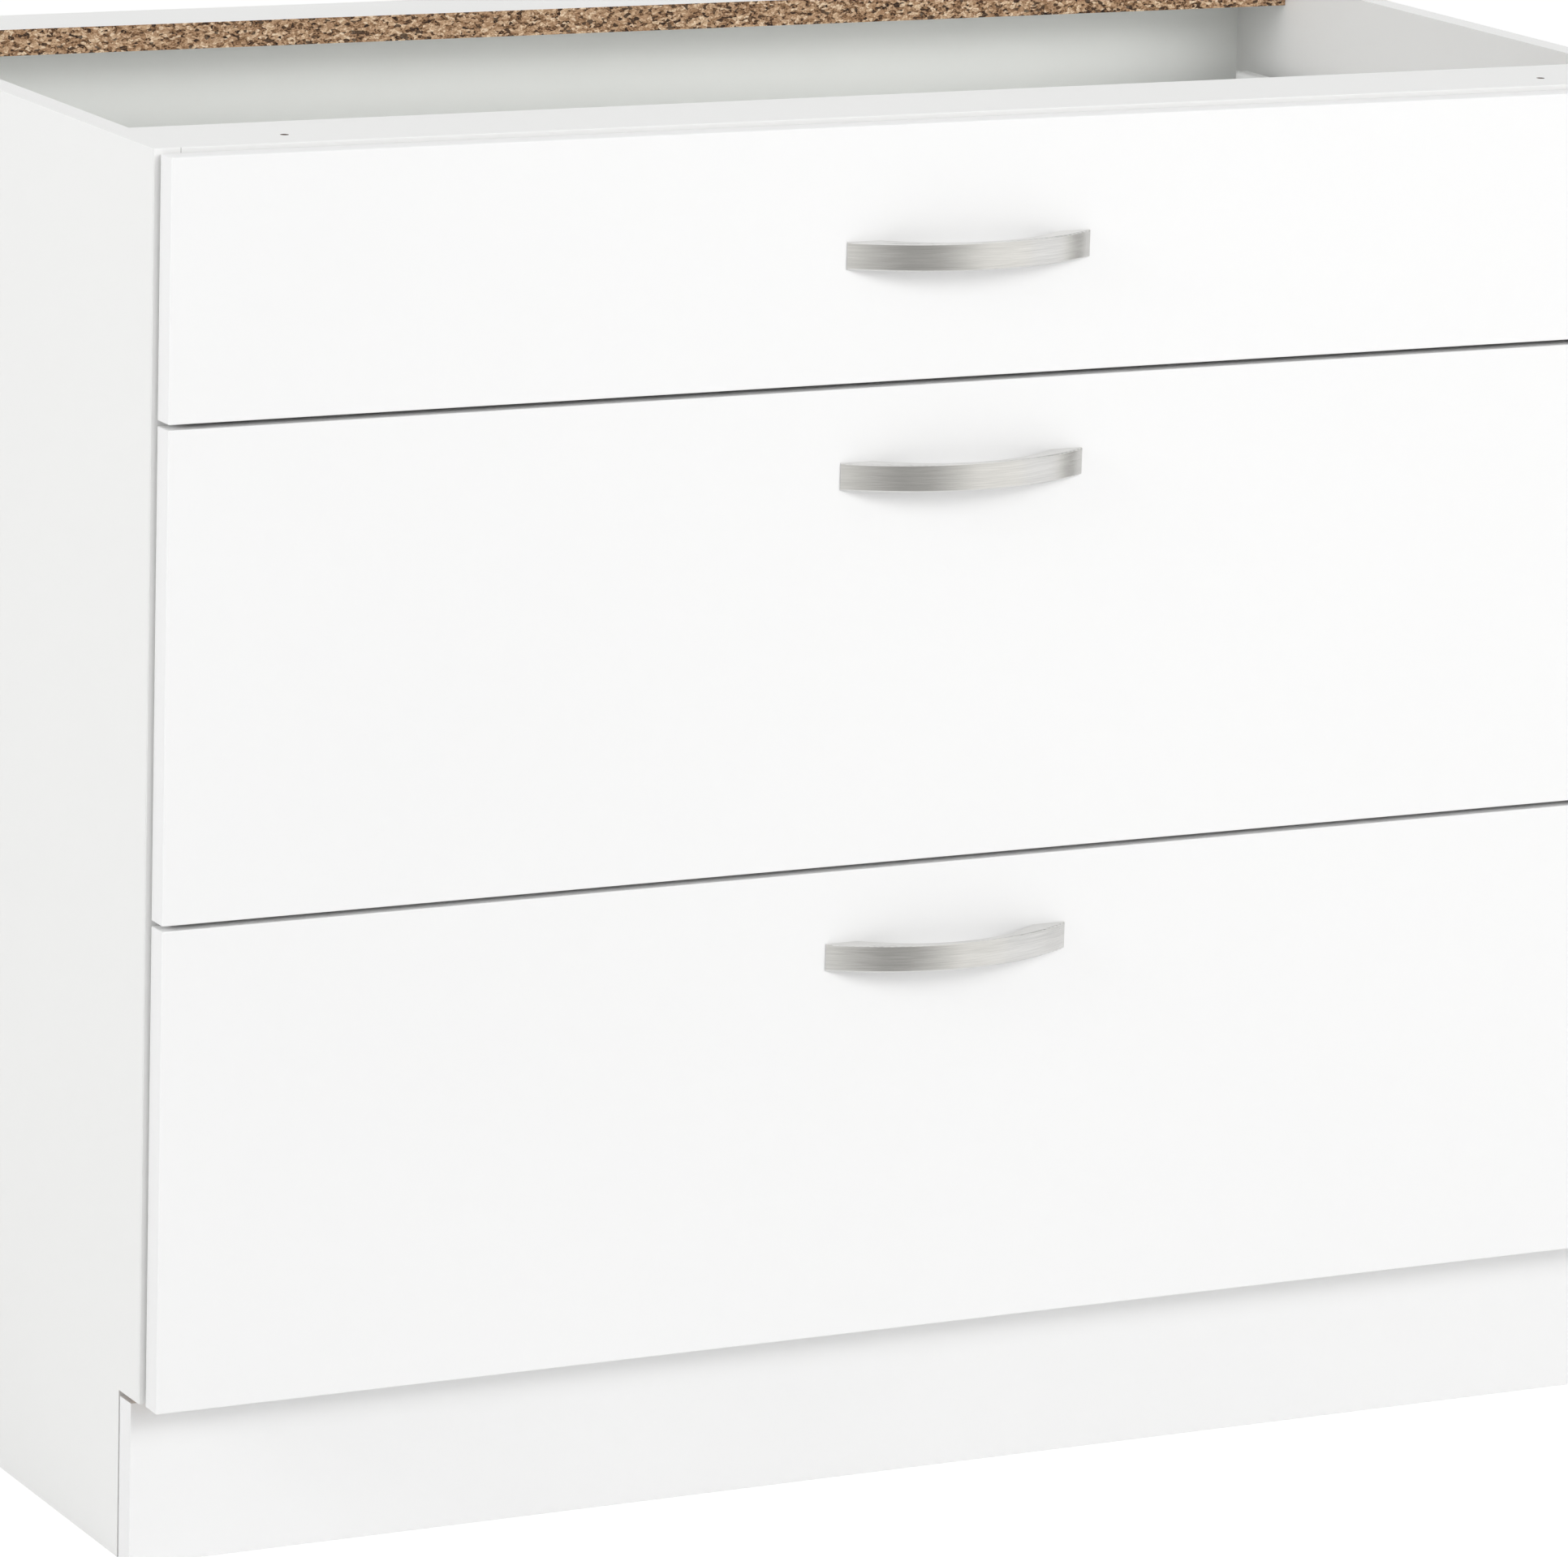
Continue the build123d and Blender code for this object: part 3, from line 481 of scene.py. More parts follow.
def melamine(name, tint, raw_edges=(), flakes=(360.0, 360.0, 620.0), shaded_holes=None):
    """Melamine-faced chipboard, with bare flakes on the faces that look along the raw edges' directions.

    A board named in the last argument has painted shade, a colour far darker than bare chipboard, on the
    walls of its holes.
    """
    material, tree, shader = new_finish(name)
    pearl = place(tree, "fine_pearl", Pearl_Scale=1100.0, Mottle_Scale=4.0)
    base = mottled(tree, pearl, tint, (0.985, 1.012))
    rough = spread(tree, pearl["Mottle"], 0.36, 0.48)
    height = maths(tree, "MULTIPLY", pearl["Height"], PEARL_HEIGHT)
    if raw_edges:
        masks = [place(tree, "faces_along", Direction=direction)["Mask"] for direction in raw_edges]
        raw = masks[0]
        for other in masks[1:]:
            raw = maths(tree, "MAXIMUM", raw, other)
        chips = place(tree, "pressed_flakes", Flakes_Per_Metre=flakes)
        base = blend_colours(tree, raw, base, chips["Color"])
        rough = maths(tree, "MAXIMUM", rough, maths(tree, "MULTIPLY", raw, FLAKE_ROUGHNESS))
        raised = maths(tree, "MULTIPLY", maths(tree, "MULTIPLY", chips["Height"], raw), FLAKE_HEIGHT)
        height = maths(tree, "ADD", height, raised)
    if shaded_holes:
        low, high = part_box(shaded_holes)
        walls = place(tree, "drilled_walls", Low=low, High=high)["Mask"]
        # painted shade: the hole walls take a colour darker than bare chipboard, for the shade inside the
        # holes
        base = blend_colours(tree, walls, base, opaque(colours().shaded_holes))
    connect(tree, shader, base, rough, bump(tree, height, BOARD_RELIEF))
    return material


def front_foil():
    """Satin foil of the slab fronts: very fine orange peel and a faint sheen."""
    return coated(
        "front_foil",
        colours().fronts,
        pearl_scale=620.0,
        mottle_scale=2.2,
        levels=(0.992, 1.008),
        roughness=(0.27, 0.36),
        relief=0.00002,
        Coat_Weight=0.12,
        Coat_Roughness=0.18,
    )


def band_joint_shade_lines(tree):
    """Mask of the painted shade lines in the joints between edge bands, at both ends of the front rail and of
    the bottom panel.
    """
    where = add(tree, "SeparateXYZ", {0: place_in_object(tree)}).outputs
    rail_low, rail_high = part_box("front_cross_rail")
    aside = maths(tree, "SUBTRACT", maths(tree, "ABSOLUTE", where["X"]), rail_high.x)
    line = maths(tree, "LESS_THAN", maths(tree, "ABSOLUTE", aside), details().joint_width / 2)
    on_rail = maths(tree, "GREATER_THAN", where["Z"], rail_low.z)
    on_panel = maths(tree, "LESS_THAN", where["Z"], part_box("bottom_panel")[1].z)
    return maths(tree, "MULTIPLY", line, maths(tree, "MAXIMUM", on_rail, on_panel))


def edge_band():
    """Thin plastic band, a little glossier than the boards, with faint lines along its length.

    A fine line of painted shade marks each joint where the bands of the front rail and the bottom panel meet
    those of the sides.
    """
    material, tree, shader = new_finish("edge_band")
    lines = place(tree, "long_streaks", Lines_Per_Metre=(30.0, 900.0, 30.0))
    pearl = place(tree, "fine_pearl", Pearl_Scale=700.0, Mottle_Scale=6.0)
    base = mottled(tree, pearl, colours().bands, (0.98, 1.01))
    # painted shade: the joint lines take the dark joint colour in place of the shade in a groove
    base = blend_colours(tree, band_joint_shade_lines(tree), base, opaque(colours().joint))
    rough = spread(tree, lines["Lines"], 0.28, 0.42)
    connect(tree, shader, base, rough, bump(tree, pearl["Height"], 0.00003))
    return material


BACK_RELIEF = 0.00015  # depth that a height of 1 stands for on the back panel
BACK_PEARL_HEIGHT = 0.15  # height of the coat's pearl, where the bare fibres have 1
FIBRE_WEIGHT, CLOUD_WEIGHT = 0.75, 0.25  # what fine fibres and slow clouds add to the brown's tone

# Dark, middle and pale fibres: places on the ramp, and levels of the brown.
FIBRE_LEVELS = ((0.30, 0.62), (0.50, 1.0), (0.70, 1.35))


def back_board():
    """Hardboard: coated on the inside, bare brown fibre on the outside."""
    material, tree, shader = new_finish("back_board")
    pearl = place(tree, "fine_pearl", Pearl_Scale=450.0, Mottle_Scale=5.0)
    fibres = place(tree, "long_streaks", Lines_Per_Metre=(260.0, 260.0, 420.0))
    outside = place(tree, "faces_along", Direction=TO_BACK)["Mask"]
    inside_coat = mottled(tree, pearl, colours().back_inside, (0.97, 1.02))
    brown = colours().back_outside
    tones = [(at, tuple(channel * level for channel in brown)) for at, level in FIBRE_LEVELS]
    tone = weighted_sum(tree, fibres["Lines"], FIBRE_WEIGHT, pearl["Mottle"], CLOUD_WEIGHT)
    base = blend_colours(tree, outside, inside_coat, ramp(tree, tone, tones))
    rough = spread(tree, outside, 0.42, 0.8)
    height = weighted_sum(tree, fibres["Lines"], outside, pearl["Height"], BACK_PEARL_HEIGHT)
    connect(tree, shader, base, rough, bump(tree, height, BACK_RELIEF))
    return material


def white_steel():
    """Powder coat on sheet steel: fine orange peel with a soft gloss."""
    return coated(
        "white_steel",
        colours().steel,
        pearl_scale=1500.0,
        mottle_scale=9.0,
        levels=(0.975, 1.015),
        roughness=(0.28, 0.42),
        relief=0.00006,
        Coat_Weight=0.2,
        Coat_Roughness=0.2,
    )


def brushed_handle():
    """Brushed metal with fine lines and wider bands along the handle."""
    tint = colours().handles
    material, tree, shader = new_finish("brushed_handle", Metallic=1.0)
    brushed = place(tree, "long_streaks", Lines_Per_Metre=(45.0, 45.0, 1700.0))
    marks = maths(
        tree, "ADD", spread(tree, brushed["Lines"], -0.3, 1.0), spread(tree, brushed["Bands"], -0.3, 0.4)
    )
    rough = maths(
        tree, "ADD", spread(tree, brushed["Lines"], 0.11, 0.21), spread(tree, brushed["Bands"], 0.0, 0.06)
    )
    base = blend_colours(tree, marks, opaque(tint, 0.84), opaque(tint, 1.14))
    connect(tree, shader, base, rough, bump(tree, brushed["Lines"], 0.000015))
    return material


def zinc(name, tint, roughness, relief):
    """Plated or cast zinc: cloudy crystals and a worn sheen."""
    return coated(
        name,
        tint,
        pearl_scale=1800.0,
        mottle_scale=160.0,
        levels=(0.78, 1.18),
        roughness=roughness,
        relief=relief,
        Metallic=1.0,
    )


def moulded(name, tint, softness):
    """Moulded plastic with a fine matt texture and some light passing through."""
    return coated(
        name,
        tint,
        pearl_scale=2200.0,
        mottle_scale=60.0,
        levels=(0.96, 1.03),
        roughness=(0.34, 0.50),
        relief=0.00003,
        Subsurface_Weight=softness,
        Subsurface_Scale=0.0015,
    )


def bare_beech():
    """Bare beech: short dark and pale fibres along the dowel."""
    tint = colours().beech
    material, tree, shader = new_finish("bare_beech")
    fibres = place(tree, "long_streaks", Lines_Per_Metre=(90.0, 1400.0, 1400.0))["Lines"]
    base = blend_colours(tree, fibres, opaque(tint, 0.72), opaque(tint, 1.30))
    connect(tree, shader, base, spread(tree, fibres, 0.55, 0.75), bump(tree, fibres, 0.00008))
    return material


def dress(names, material):
    """Give CAD pieces their finish."""
    for name in names:
        for slot in NODES[name].material_slots:
            slot.material = material


BEVEL_STEPS = 2
BEVEL_TURN = math.radians(50)  # edges that turn more than this are broken


def break_edges(names):
    """A tiny bevel along the sharp edges of boards, as a finished panel has."""
    for name in names:
        weld = NODES[name].modifiers.new("weld", "WELD")
        weld.merge_threshold = SAME_POINT
        bevel = NODES[name].modifiers.new("edge_bevel", "BEVEL")
        bevel.width = details().edge_bevel
        bevel.segments = BEVEL_STEPS
        bevel.limit_method = "ANGLE"
        bevel.angle_limit = BEVEL_TURN
        bevel.use_clamp_overlap = True


# ---------------------------------------------------------------- turned pieces
RING_POINTS = 24  # points in each ring of a turned piece
SMOOTH_TURN = math.radians(40)  # edges that turn less than this are shaded smooth
HEAD_SHARE = 0.98  # points further out than this share of a pin's widest radius are its head
SHANK_SHARE = 0.9  # points nearer in than this share are its shank

# Outline of a screw's head, from its top down: shares of its radius and of its height.
PAN_HEAD = ((0.74, 0.0), (0.90, 0.22), (0.98, 0.55), (1.0, 0.88), (0.98, 1.0))
DOMED_HEAD = ((0.72, 0.0), (0.88, 0.18), (0.97, 0.48), (1.0, 0.85), (0.97, 1.0))
FLAT_TOP = 0.97  # top of a countersunk head, as a share of its radius
FLAT_RIM = 0.0001  # height of its rim; a head with a higher rim is a pan head

# Bottom and top of the cross recess: shares of its reach, width and depth.
WOOD_RECESS = ((0.55, 0.5, 1.0), (1.0, 1.0, 0.12))
MACHINE_RECESS = ((0.6, 0.55, 1.2), (1.1, 1.15, 0.1))

WOOD_NECK = 0.8  # radius under the head, as a share of the shank's
MACHINE_NECK = 0.85
THREAD_TURN = ((0.0, 1.0), (0.35, 0.0), (0.6, 0.0))  # root and crest: shares of the pitch and of the depth
THREAD_START = 0.0004  # plain stretch between the head and the thread
FEWEST_TURNS = 2
TIP_SHARE = 0.25  # radius of a wood screw's tip, as a share of its shank's
POINT_SLOPE = 3  # shank radii along a wood screw's point, for each radius that it widens
DOWEL_END = 0.6  # share of the chamfer by which a dowel's end is narrower


def solids_of(node):
    """The corner points of each separate solid of a CAD node."""
    mesh = bmesh.new()
    mesh.from_mesh(NODES[node].data)
    bmesh.ops.remove_doubles(mesh, verts=mesh.verts, dist=SAME_POINT)
    waiting = set(mesh.verts)
    solids = []
    while waiting:
        start = min(waiting, key=lambda vert: vert.index)
        waiting.discard(start)
        found = [start]
        for vert in found:
            for edge in vert.link_edges:
                other = edge.other_vert(vert)
                if other in waiting:
                    waiting.discard(other)
                    found.append(other)
        solids.append([vert.co.copy() for vert in found])
    mesh.free()
    return solids


def read_pin(points):
    """Place, direction, length, radii and head of one pin-shaped solid, read from its points."""
    low = Vector([min(point[axis] for point in points) for axis in range(3)])
    high = Vector([max(point[axis] for point in points) for axis in range(3)])
    size = high - low
    axis = max(range(3), key=lambda index: size[index])
    middle = (low + high) / 2
    others = [index for index in range(3) if index != axis]

    def radius(point):
        return math.hypot(*(point[index] - middle[index] for index in others))

    widest = max(radius(point) for point in points)
    wide = [point[axis] for point in points if radius(point) > HEAD_SHARE * widest]
    narrow = [radius(point) for point in points if radius(point) < SHANK_SHARE * widest]
    head_is_high = sum(wide) / len(wide) > middle[axis]
    out = Vector((0, 0, 0))
    out[axis] = 1 if head_is_high else -1
    head = middle.copy()
    head[axis] = high[axis] if head_is_high else low[axis]
    return {
        "head": head,
        "out": out,
        "length": size[axis],
        "head_radius": widest,
        "head_height": max(wide) - min(wide),
        "shank_radius": max(narrow) if narrow else widest,
    }


def circle(radius, height, dent=0.0):
    """One ring of points, with every second one drawn in for a fluted piece."""
    turns = [2 * math.pi * step / RING_POINTS for step in range(RING_POINTS)]
    radii = [radius - dent * (step % 2) for step in range(RING_POINTS)]
    return [(r * math.cos(turn), r * math.sin(turn), height) for r, turn in zip(radii, turns)]


def cross(reach, width, height):
    """One ring of points round a cross-shaped recess, matched to the points of a circle."""
    half = (reach + width) / 2
    quarter = [(reach, 0), (reach, width), (half, width), (width, width), (width, half), (width, reach)]
    ring = []
    for _ in range(4):
        ring += [(x, y, height) for x, y in quarter]
        quarter = [(-y, x) for x, y in quarter]
    return ring


def stack(rings):
    """Corner points and faces of a closed solid made from a stack of rings, top first."""
    points = [point for ring in rings for point in ring]
    faces = [tuple(range(RING_POINTS))]
    for level in range(len(rings) - 1):
        upper, lower = level * RING_POINTS, (level + 1) * RING_POINTS
        for step in range(RING_POINTS):
            after = (step + 1) % RING_POINTS
            faces.append((upper + step, lower + step, lower + after, upper + after))
    last = (len(rings) - 1) * RING_POINTS
    faces.append(tuple(range(last + RING_POINTS - 1, last - 1, -1)))
    return points, faces


def recess(shares):
    """Rings of the cross recess, from its bottom to the top of the head."""
    size = details()
    return [
        cross(size.recess_reach * reach, size.recess_width * width, -size.recess_depth * depth)
        for reach, width, depth in shares
    ]


def thread(radius, depth, pitch, start, end, point=0.0):
    """Rings of a threaded shank from its start down to its end.

    A point is given as the length over which it would widen by a whole radius, and 0 leaves the end blunt.
    """
    rings = []
    turns = max(FEWEST_TURNS, round((start - end) / pitch))
    for turn in range(turns):
        for share, dip in THREAD_TURN:
            height = start - (turn + share) * (start - end) / turns
            taper = min(1.0, TIP_SHARE + (height - end) / point) if point else 1.0
            rings.append(circle((radius - dip * depth) * taper, height))
    rings.append(circle((radius - depth) * (TIP_SHARE if point else 1.0), end))
    return rings


def wood_screw(pin):
    """Points and faces of a wood screw with a cross recess, under a pan head or a countersunk one."""
    size = details()
    wide, shank = pin["head_radius"], pin["shank_radius"]
    if pin["head_height"] > FLAT_RIM:
        under = -pin["head_height"]
        head = [circle(wide * share, under * drop) for share, drop in PAN_HEAD]
    else:
        under = shank - wide
        head = [circle(wide * FLAT_TOP, 0.0), circle(wide, -FLAT_RIM)]
    head.append(circle(shank * WOOD_NECK, under))
    start, end = under - THREAD_START, -pin["length"]
    shaft = thread(shank, size.thread_depth, size.thread_pitch, start, end, POINT_SLOPE * shank)
    return stack(recess(WOOD_RECESS) + head + shaft)


def machine_screw(pin):
    """Points and faces of a machine screw with a cross recess in a domed head."""
    size = details()
    wide, shank, under = pin["head_radius"], pin["shank_radius"], -pin["head_height"]
    head = [circle(wide * share, under * drop) for share, drop in DOMED_HEAD]
    head.append(circle(shank * MACHINE_NECK, under))
    shaft = thread(shank, size.machine_depth, size.machine_pitch, under - THREAD_START, -pin["length"])
    return stack(recess(MACHINE_RECESS) + head + shaft)


def fluted_dowel(pin):
    """Points and faces of a fluted dowel with chamfered ends."""
    size = details()
    radius, end = pin["shank_radius"], -pin["length"]
    slope, dent = size.dowel_chamfer, size.flute_depth
    return stack(
        [
            circle(radius - slope * DOWEL_END, 0.0),
            circle(radius, -slope, dent),
            circle(radius, end + slope, dent),
            circle(radius - slope * DOWEL_END, end),
        ]
    )


def smooth_round_faces(mesh):
    """Turn every face outwards, and shade the faces round a turned piece smooth."""
    shape = bmesh.new()
    shape.from_mesh(mesh)
    bmesh.ops.recalc_face_normals(shape, faces=shape.faces)
    for face in shape.faces:
        face.smooth = len(face.verts) == 4
    for edge in shape.edges:
        edge.smooth = edge.calc_face_angle(math.pi) < SMOOTH_TURN
    shape.to_mesh(mesh)
    shape.free()


def turn_pieces(node, name, build, material):
    """One detailed mesh that stands for all the pins of a CAD node."""
    points, faces = [], []
    for solid in solids_of(node):
        pin = read_pin(solid)
        own_points, own_faces = build(pin)
        turn = Vector(UP).rotation_difference(pin["out"]).to_matrix().to_4x4()
        move = Matrix.Translation(pin["head"]) @ turn
        first = len(points)
        points += [move @ Vector(point) for point in own_points]
        faces += [tuple(first + index for index in face) for face in own_faces]
    mesh = bpy.data.meshes.new(name)
    mesh.from_pydata(points, [], faces)
    mesh.materials.append(material)
    mesh.validate()
    smooth_round_faces(mesh)
    piece = new_object(name, mesh)
    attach(piece, NODES[node]["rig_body"])
    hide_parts(node)


# ---------------------------------------------------------------- stage
FLOOR_DROP = 0.0002  # the floor lies this far under the cabinet
FLOOR_BOUNCE = 0.86  # shade of the floor for the light that it throws back
FLOOR_SEEN = 0.5  # shade of the floor that the camera sees, which keeps the cabinet's shadow
FLOOR_GLOW = 0.72  # level added to that shade, so that the lit floor is white
FLOOR_MIRRORED = 0.95  # even level of the floor in metal and glass

# Lamps: name, azimuth and height angle in degrees, distance, and width and height.
# The setting of the same name holds the lamp's power.
LAMPS = (
    ("front_lamp", 10, 30, 5.5, (2.6, 1.8)),
    ("right_lamp", 28, 20, 7.5, (3.4, 2.4)),
    ("left_lamp", -83, 22, 4.4, (2.4, 1.6)),
    ("rear_lamp", 150, 14, 4.6, (2.6, 1.6)),
)

# Cards that paint grey reflections into the handles; they glow and are seen only in mirror-like surfaces:
# grey shades of (share of the card's width, level).
FRONT_SHADES = ((0.0, 0.90), (0.20, 0.60), (0.34, 0.40), (0.45, 0.46), (0.66, 0.95), (1.0, 1.0))
RIGHT_SHADES = ((0.0, 1.0), (0.40, 0.52), (1.0, 0.45))
CARD_WARMTH = (1.0, 0.988, 0.955)  # red, green and blue of a level of 1

# Cards: name, place, width and height, turn about the vertical in degrees, and shades.
CARDS = (
    ("front_card", (0.1, -1.1, 0.6), (2.0, 1.2), 0, FRONT_SHADES),
    ("right_card", (1.6, -0.4, 0.65), (0.6, 1.3), 90, RIGHT_SHADES),
)

SENSOR_WIDTH = 36.0  # millimetres
FARTHEST_SEEN = 100.0  # metres


def flat_sheet(name, corners, material):
    """A flat sheet with four corners."""
    mesh = bpy.data.meshes.new(name)
    mesh.from_pydata(corners, [], [(0, 1, 2, 3)])
    mesh.materials.append(material)
    return new_object(name, mesh)


def seen_directly(tree):
    """1 for rays from the camera, mirror-like surfaces or glass, and 0 for light that falls on things."""
    path = add(tree, "LightPath").outputs
    shiny = maths(tree, "MAXIMUM", path["Is Glossy Ray"], path["Is Transmission Ray"])
    return maths(tree, "MAXIMUM", path["Is Camera Ray"], shiny)


def floor_material():
    """Pale matt floor that glows white for the camera and for mirror-like surfaces."""
    material = bpy.data.materials.new("pale_floor")
    tree = blank_tree(material)
    camera = add(tree, "LightPath").outputs["Is Camera Ray"]
    mirrored = maths(tree, "SUBTRACT", seen_directly(tree), camera)
    shade = blend_colours(tree, camera, opaque(WHITE, FLOOR_BOUNCE), opaque(WHITE, FLOOR_SEEN))
    shade = blend_colours(tree, mirrored, shade, opaque(BLACK))
    level = weighted_sum(tree, camera, FLOOR_GLOW, mirrored, FLOOR_MIRRORED)
    matt = add(tree, "BsdfDiffuse", {"Color": shade}).outputs[0]
    glow = add(tree, "Emission", {"Color": opaque(WHITE), "Strength": level}).outputs[0]
    both = add(tree, "AddShader", {0: matt, 1: glow}).outputs[0]
    add(tree, "OutputMaterial", {"Surface": both})
    return material


def lay_floor(size):
    """A pale square floor that keeps the cabinet's shadow and meets the white surroundings."""
    half = size / 2
    corners = [(-half, -half, 0), (half, -half, 0), (half, half, 0), (-half, half, 0)]
    floor = flat_sheet("floor", corners, floor_material())
    floor.location.z = -FLOOR_DROP


def light_room(room_light):
    """White surroundings, with their own level for the light that falls on things."""
    world = bpy.data.worlds.new("pale_room")
    bpy.context.scene.world = world
    tree = blank_tree(world)
    level = spread(tree, seen_directly(tree), room_light, 1.0)
    sky = add(tree, "Background", {"Color": opaque(WHITE), "Strength": level}).outputs[0]
    add(tree, "OutputWorld", {"Surface": sky})


def add_lamp(name, azimuth, height_angle, distance, size, power):
    """A large soft lamp that faces the cabinet; azimuth 0 is straight in front, and 90 is on the right."""
    turn, rise = math.radians(azimuth), math.radians(height_angle)
    away = Vector((math.sin(turn) * math.cos(rise), -math.cos(turn) * math.cos(rise), math.sin(rise)))
    lamp = bpy.data.lights.new(name, "AREA")
    lamp.shape = "RECTANGLE"
    lamp.size, lamp.size_y = size
    lamp.energy = power
    holder = new_object(name, lamp)
    holder.location = (cad_box[0] + cad_box[1]) / 2 + distance * away
    holder.rotation_euler = (-away).to_track_quat("-Z", "Y").to_euler()
    holder.visible_camera = False
    holder.visible_glossy = False


def reflection_card_material(name, width, shades):
    """A glow whose grey changes across the width of a card, a painted reflection for the handles."""
    material = bpy.data.materials.new(name)
    tree = blank_tree(material)
    half = width / 2
    across = add(tree, "SeparateXYZ", {0: place_in_object(tree)}).outputs["X"]
    share = add(tree, "MapRange", {"Value": across, "From Min": -half, "From Max": half}).outputs["Result"]
    tones = [(at, tuple(level * part for part in CARD_WARMTH)) for at, level in shades]
    glow = add(tree, "Emission", {"Color": ramp(tree, share, tones), "Strength": 1.0}).outputs[0]
    add(tree, "OutputMaterial", {"Surface": glow})
    return material


def hang_reflection_card(name, spot, size, turn, shades):
    """An upright glowing card that only metal and other glossy surfaces see, as a painted reflection; it
    casts no shadow and gives no matt light.
    """
    wide, high = size[0] / 2, size[1] / 2
    corners = [(-wide, 0, -high), (wide, 0, -high), (wide, 0, high), (-wide, 0, high)]
    card = flat_sheet(name, corners, reflection_card_material(name, size[0], shades))
    card.location = spot
    card.rotation_euler.z = math.radians(turn)
    card.visible_camera = False
    card.visible_diffuse = False
    card.visible_shadow = False
    card.visible_transmission = False


def set_camera(studio):
    """The camera at the photograph's viewing angle."""
    turn, tilt, roll = studio.camera_turn, studio.camera_tilt, studio.camera_roll
    ahead = Vector((math.sin(turn) * math.cos(tilt), math.cos(turn) * math.cos(tilt), -math.sin(tilt)))
    level = Vector((math.cos(turn), -math.sin(turn), 0))
    upright = level.cross(ahead)
    right = math.cos(roll) * level + math.sin(roll) * upright
    up = math.cos(roll) * upright - math.sin(roll) * level
    lens = bpy.data.cameras.new("camera")
    lens.lens = studio.focal_length
    lens.sensor_width = SENSOR_WIDTH
    lens.clip_end = FARTHEST_SEEN
    camera = new_object("camera", lens)
    camera.location = studio.camera_place
    camera.rotation_euler = Matrix((right, up, -ahead)).transposed().to_euler()
    bpy.context.scene.camera = camera
    bpy.context.scene.view_settings.view_transform = "Standard"


# ---------------------------------------------------------------- operators
class CabinetOperator(bpy.types.Operator):
    """Shared settings of the cabinet's operators."""

    bl_options = {"REGISTER", "UNDO"}


class CABINET_OT_stage(CabinetOperator):
    """Set up the floor, the lamps, the surroundings and the camera"""

    bl_idname = "cabinet.stage"
    bl_label = "Stage"

    def execute(self, context):
        studio = context.scene.cabinet_studio
        lay_floor(studio.floor_size)
        light_room(studio.room_light)
        for name, azimuth, height_angle, distance, size in LAMPS:
            add_lamp(name, azimuth, height_angle, distance, size, getattr(studio, name))
        for card in CARDS:
            hang_reflection_card(*card)
        set_camera(studio)
        return {"FINISHED"}


class CABINET_OT_boards(CabinetOperator):
    """Finish the chipboard panels of the carcass and of the drawer boxes"""

    bl_idname = "cabinet.boards"
    bl_label = "Boards"

    def execute(self, context):
        tint = colours().boards
        sides = [f"side_panel_{hand}" for hand in HANDS]
        floors = [f"{drawer}_drawer_floor" for drawer in DRAWERS]
        backs = [f"{drawer}_drawer_back" for drawer in DRAWERS]
        dress(sides, melamine("side_board", tint, [TO_BACK, DOWN], flakes=(620.0, 360.0, 360.0)))
        dress(["bottom_panel", *floors], melamine("flat_board", tint, [TO_BACK]))
        dress(backs, melamine("plain_board", tint))
        dress(["plinth_board"], melamine("plinth_foil", colours().fronts))
        break_edges([*sides, "plinth_board", "bottom_panel", *backs])
        for end, raw_edges in (("front", [TO_BACK]), ("rear", [TO_FRONT, TO_BACK])):
            rail = f"{end}_cross_rail"
            dress([rail], melamine(f"{end}_rail", tint, raw_edges, shaded_holes=rail))
            break_edges([rail])
        return {"FINISHED"}


class CABINET_OT_edge_bands(CabinetOperator):
    """Finish the edge bands on the front edges of the carcass"""

    bl_idname = "cabinet.edge_bands"
    bl_label = "Edge Bands"

    def execute(self, context):
        dress(["front_edge_bands"], edge_band())
        break_edges(["front_edge_bands"])
        return {"FINISHED"}


class CABINET_OT_back_panel(CabinetOperator):
    """Finish the thin back panel"""

    bl_idname = "cabinet.back_panel"
    bl_label = "Back Panel"

    def execute(self, context):
        dress(["back_panel"], back_board())
        return {"FINISHED"}


class CABINET_OT_fronts(CabinetOperator):
    """Finish the drawer fronts"""

    bl_idname = "cabinet.fronts"
    bl_label = "Drawer Fronts"

    def execute(self, context):
        dress([f"{drawer}_drawer_front" for drawer in DRAWERS], front_foil())
        return {"FINISHED"}


class CABINET_OT_handles(CabinetOperator):
    """Finish the bow handles"""

    bl_idname = "cabinet.handles"
    bl_label = "Handles"

    def execute(self, context):
        dress([f"{drawer}_handle" for drawer in DRAWERS], brushed_handle())
        return {"FINISHED"}


class CABINET_OT_white_steel(CabinetOperator):
    """Finish the cabinet rails, the steel drawer sides, the front brackets and the gallery rods"""

    bl_idname = "cabinet.white_steel"
    bl_label = "White Steel"

    def execute(self, context):
        rails = [f"{drawer}_cabinet_rail_{hand}" for drawer in DRAWERS for hand in HANDS]
        sides = [f"{drawer}_drawer_side_{hand}" for drawer in DRAWERS for hand in HANDS]
        brackets = [f"{drawer}_front_brackets" for drawer in DRAWERS]
        rods = [f"{drawer}_gallery_rods" for drawer in DEEP_DRAWERS]
        dress([*rails, *sides, *brackets, *rods], white_steel())
        return {"FINISHED"}


class CABINET_OT_plastics(CabinetOperator):
    """Finish the nylon rollers and the rod cups"""

    bl_idname = "cabinet.plastics"
    bl_label = "Rollers And Cups"

    def execute(self, context):
        rollers = [f"{drawer}_{end}_rollers" for drawer in DRAWERS for end in ("front", "rear")]
        cups = [f"{drawer}_gallery_cups" for drawer in DEEP_DRAWERS]
        dress(rollers, moulded("roller_nylon", colours().nylon, softness=0.25))
        dress(cups, moulded("cup_plastic", colours().cups, softness=0.1))
        return {"FINISHED"}


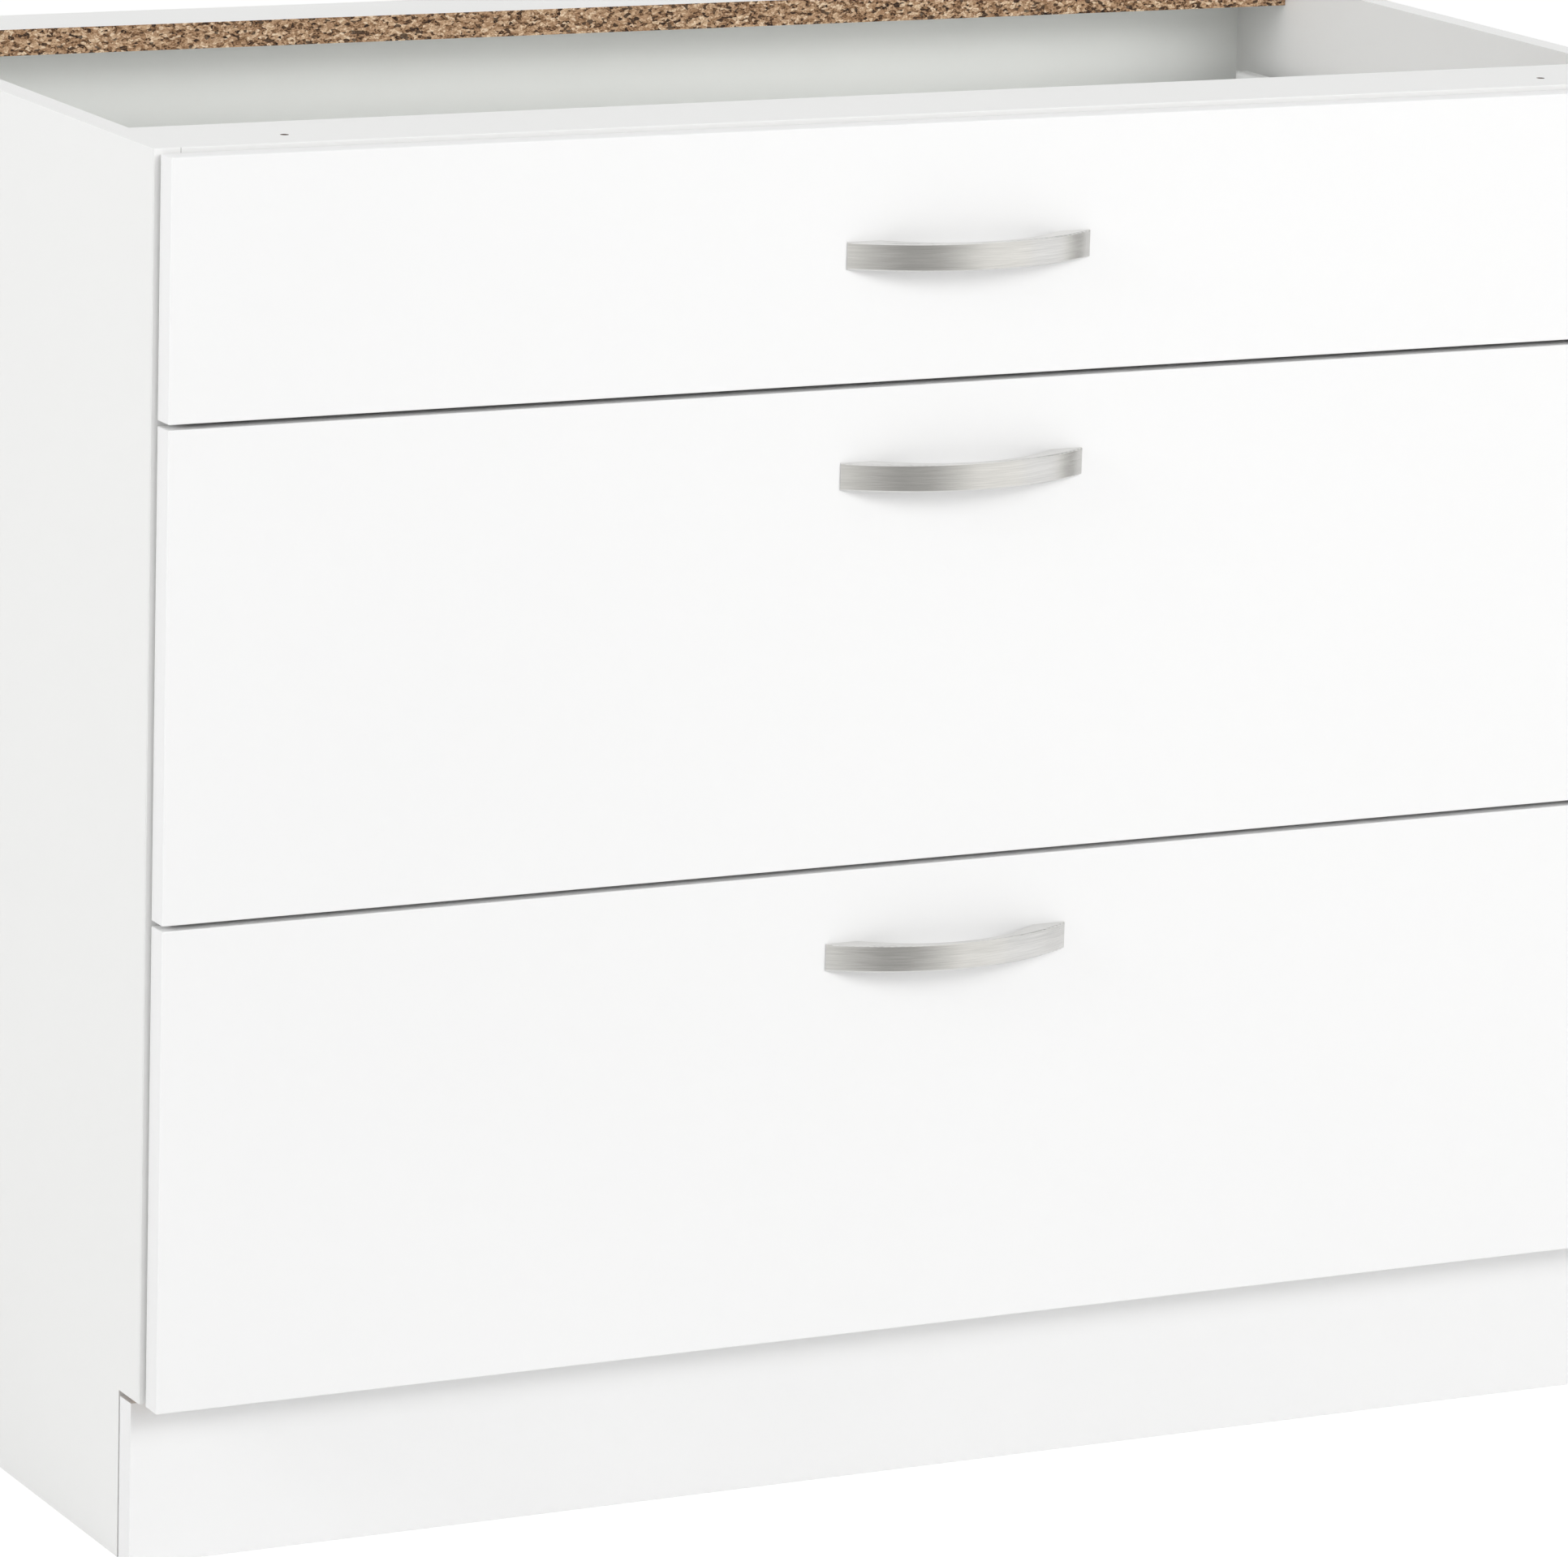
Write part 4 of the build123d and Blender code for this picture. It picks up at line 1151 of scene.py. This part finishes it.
class CABINET_OT_fittings(CabinetOperator):
    """Finish the cams and plinth brackets, and turn the fluted dowels"""

    bl_idname = "cabinet.fittings"
    bl_label = "Joining Fittings"

    def execute(self, context):
        bright = zinc("bright_zinc_fittings", colours().zinc, roughness=(0.22, 0.40), relief=0.00001)
        dull = zinc("cast_zinc", colours().cast_zinc, roughness=(0.38, 0.60), relief=0.00005)
        dress(["cam_bolts", "plinth_brackets"], bright)
        dress(["cam_locks"], dull)
        turn_pieces("wooden_dowels", "fluted_dowels", fluted_dowel, bare_beech())
        return {"FINISHED"}


class CABINET_OT_screws(CabinetOperator):
    """Turn the wood screws and the handle screws, with their threads and cross recesses"""

    bl_idname = "cabinet.screws"
    bl_label = "Screws"

    def execute(self, context):
        bright = zinc("bright_zinc", colours().zinc, roughness=(0.18, 0.34), relief=0.000008)
        wood = ["back_panel_screws", "plinth_screws", "cabinet_rail_screws"]
        wood += [f"{drawer}_box_screws" for drawer in DRAWERS]
        machine = [f"{drawer}_handle_screws" for drawer in DRAWERS]
        for node in wood:
            turn_pieces(node, f"{node}_turned", wood_screw, bright)
        for node in machine:
            turn_pieces(node, f"{node}_turned", machine_screw, bright)
        return {"FINISHED"}


# ---------------------------------------------------------------- add-on
OPERATORS = (
    CABINET_OT_stage,
    CABINET_OT_boards,
    CABINET_OT_edge_bands,
    CABINET_OT_back_panel,
    CABINET_OT_fronts,
    CABINET_OT_handles,
    CABINET_OT_white_steel,
    CABINET_OT_plastics,
    CABINET_OT_fittings,
    CABINET_OT_screws,
)

GROUPS = (
    ("cabinet_colours", CabinetColours),
    ("cabinet_details", CabinetDetails),
    ("cabinet_studio", CabinetStudio),
)


class CABINET_PT_panel(bpy.types.Panel):
    """Sidebar panel with the cabinet's settings and steps."""

    bl_idname = "CABINET_PT_panel"
    bl_label = "Base Cabinet"
    bl_space_type = "VIEW_3D"
    bl_region_type = "UI"
    bl_category = "Base Cabinet"

    def draw(self, context):
        for operator in OPERATORS:
            self.layout.operator(operator.bl_idname)
        for name, group in GROUPS:
            box = self.layout.box()
            for setting in group.__annotations__:
                box.prop(getattr(context.scene, name), setting)


def register():
    """Add the settings, the operators and the panel."""
    for name, group in GROUPS:
        bpy.utils.register_class(group)
        setattr(bpy.types.Scene, name, bpy.props.PointerProperty(type=group))
    for operator in OPERATORS:
        bpy.utils.register_class(operator)
    bpy.utils.register_class(CABINET_PT_panel)


def unregister():
    """Take them all away again, last first."""
    bpy.utils.unregister_class(CABINET_PT_panel)
    for operator in reversed(OPERATORS):
        bpy.utils.unregister_class(operator)
    for name, group in reversed(GROUPS):
        delattr(bpy.types.Scene, name)
        bpy.utils.unregister_class(group)


def main():
    """Run every step in order."""
    register()
    for operator in OPERATORS:
        step = getattr(bpy.ops.cabinet, operator.bl_idname.split(".")[1])
        if step() != {"FINISHED"}:
            raise RuntimeError(f"{operator.bl_label} did not finish")


if __name__ == "__main__":
    main()
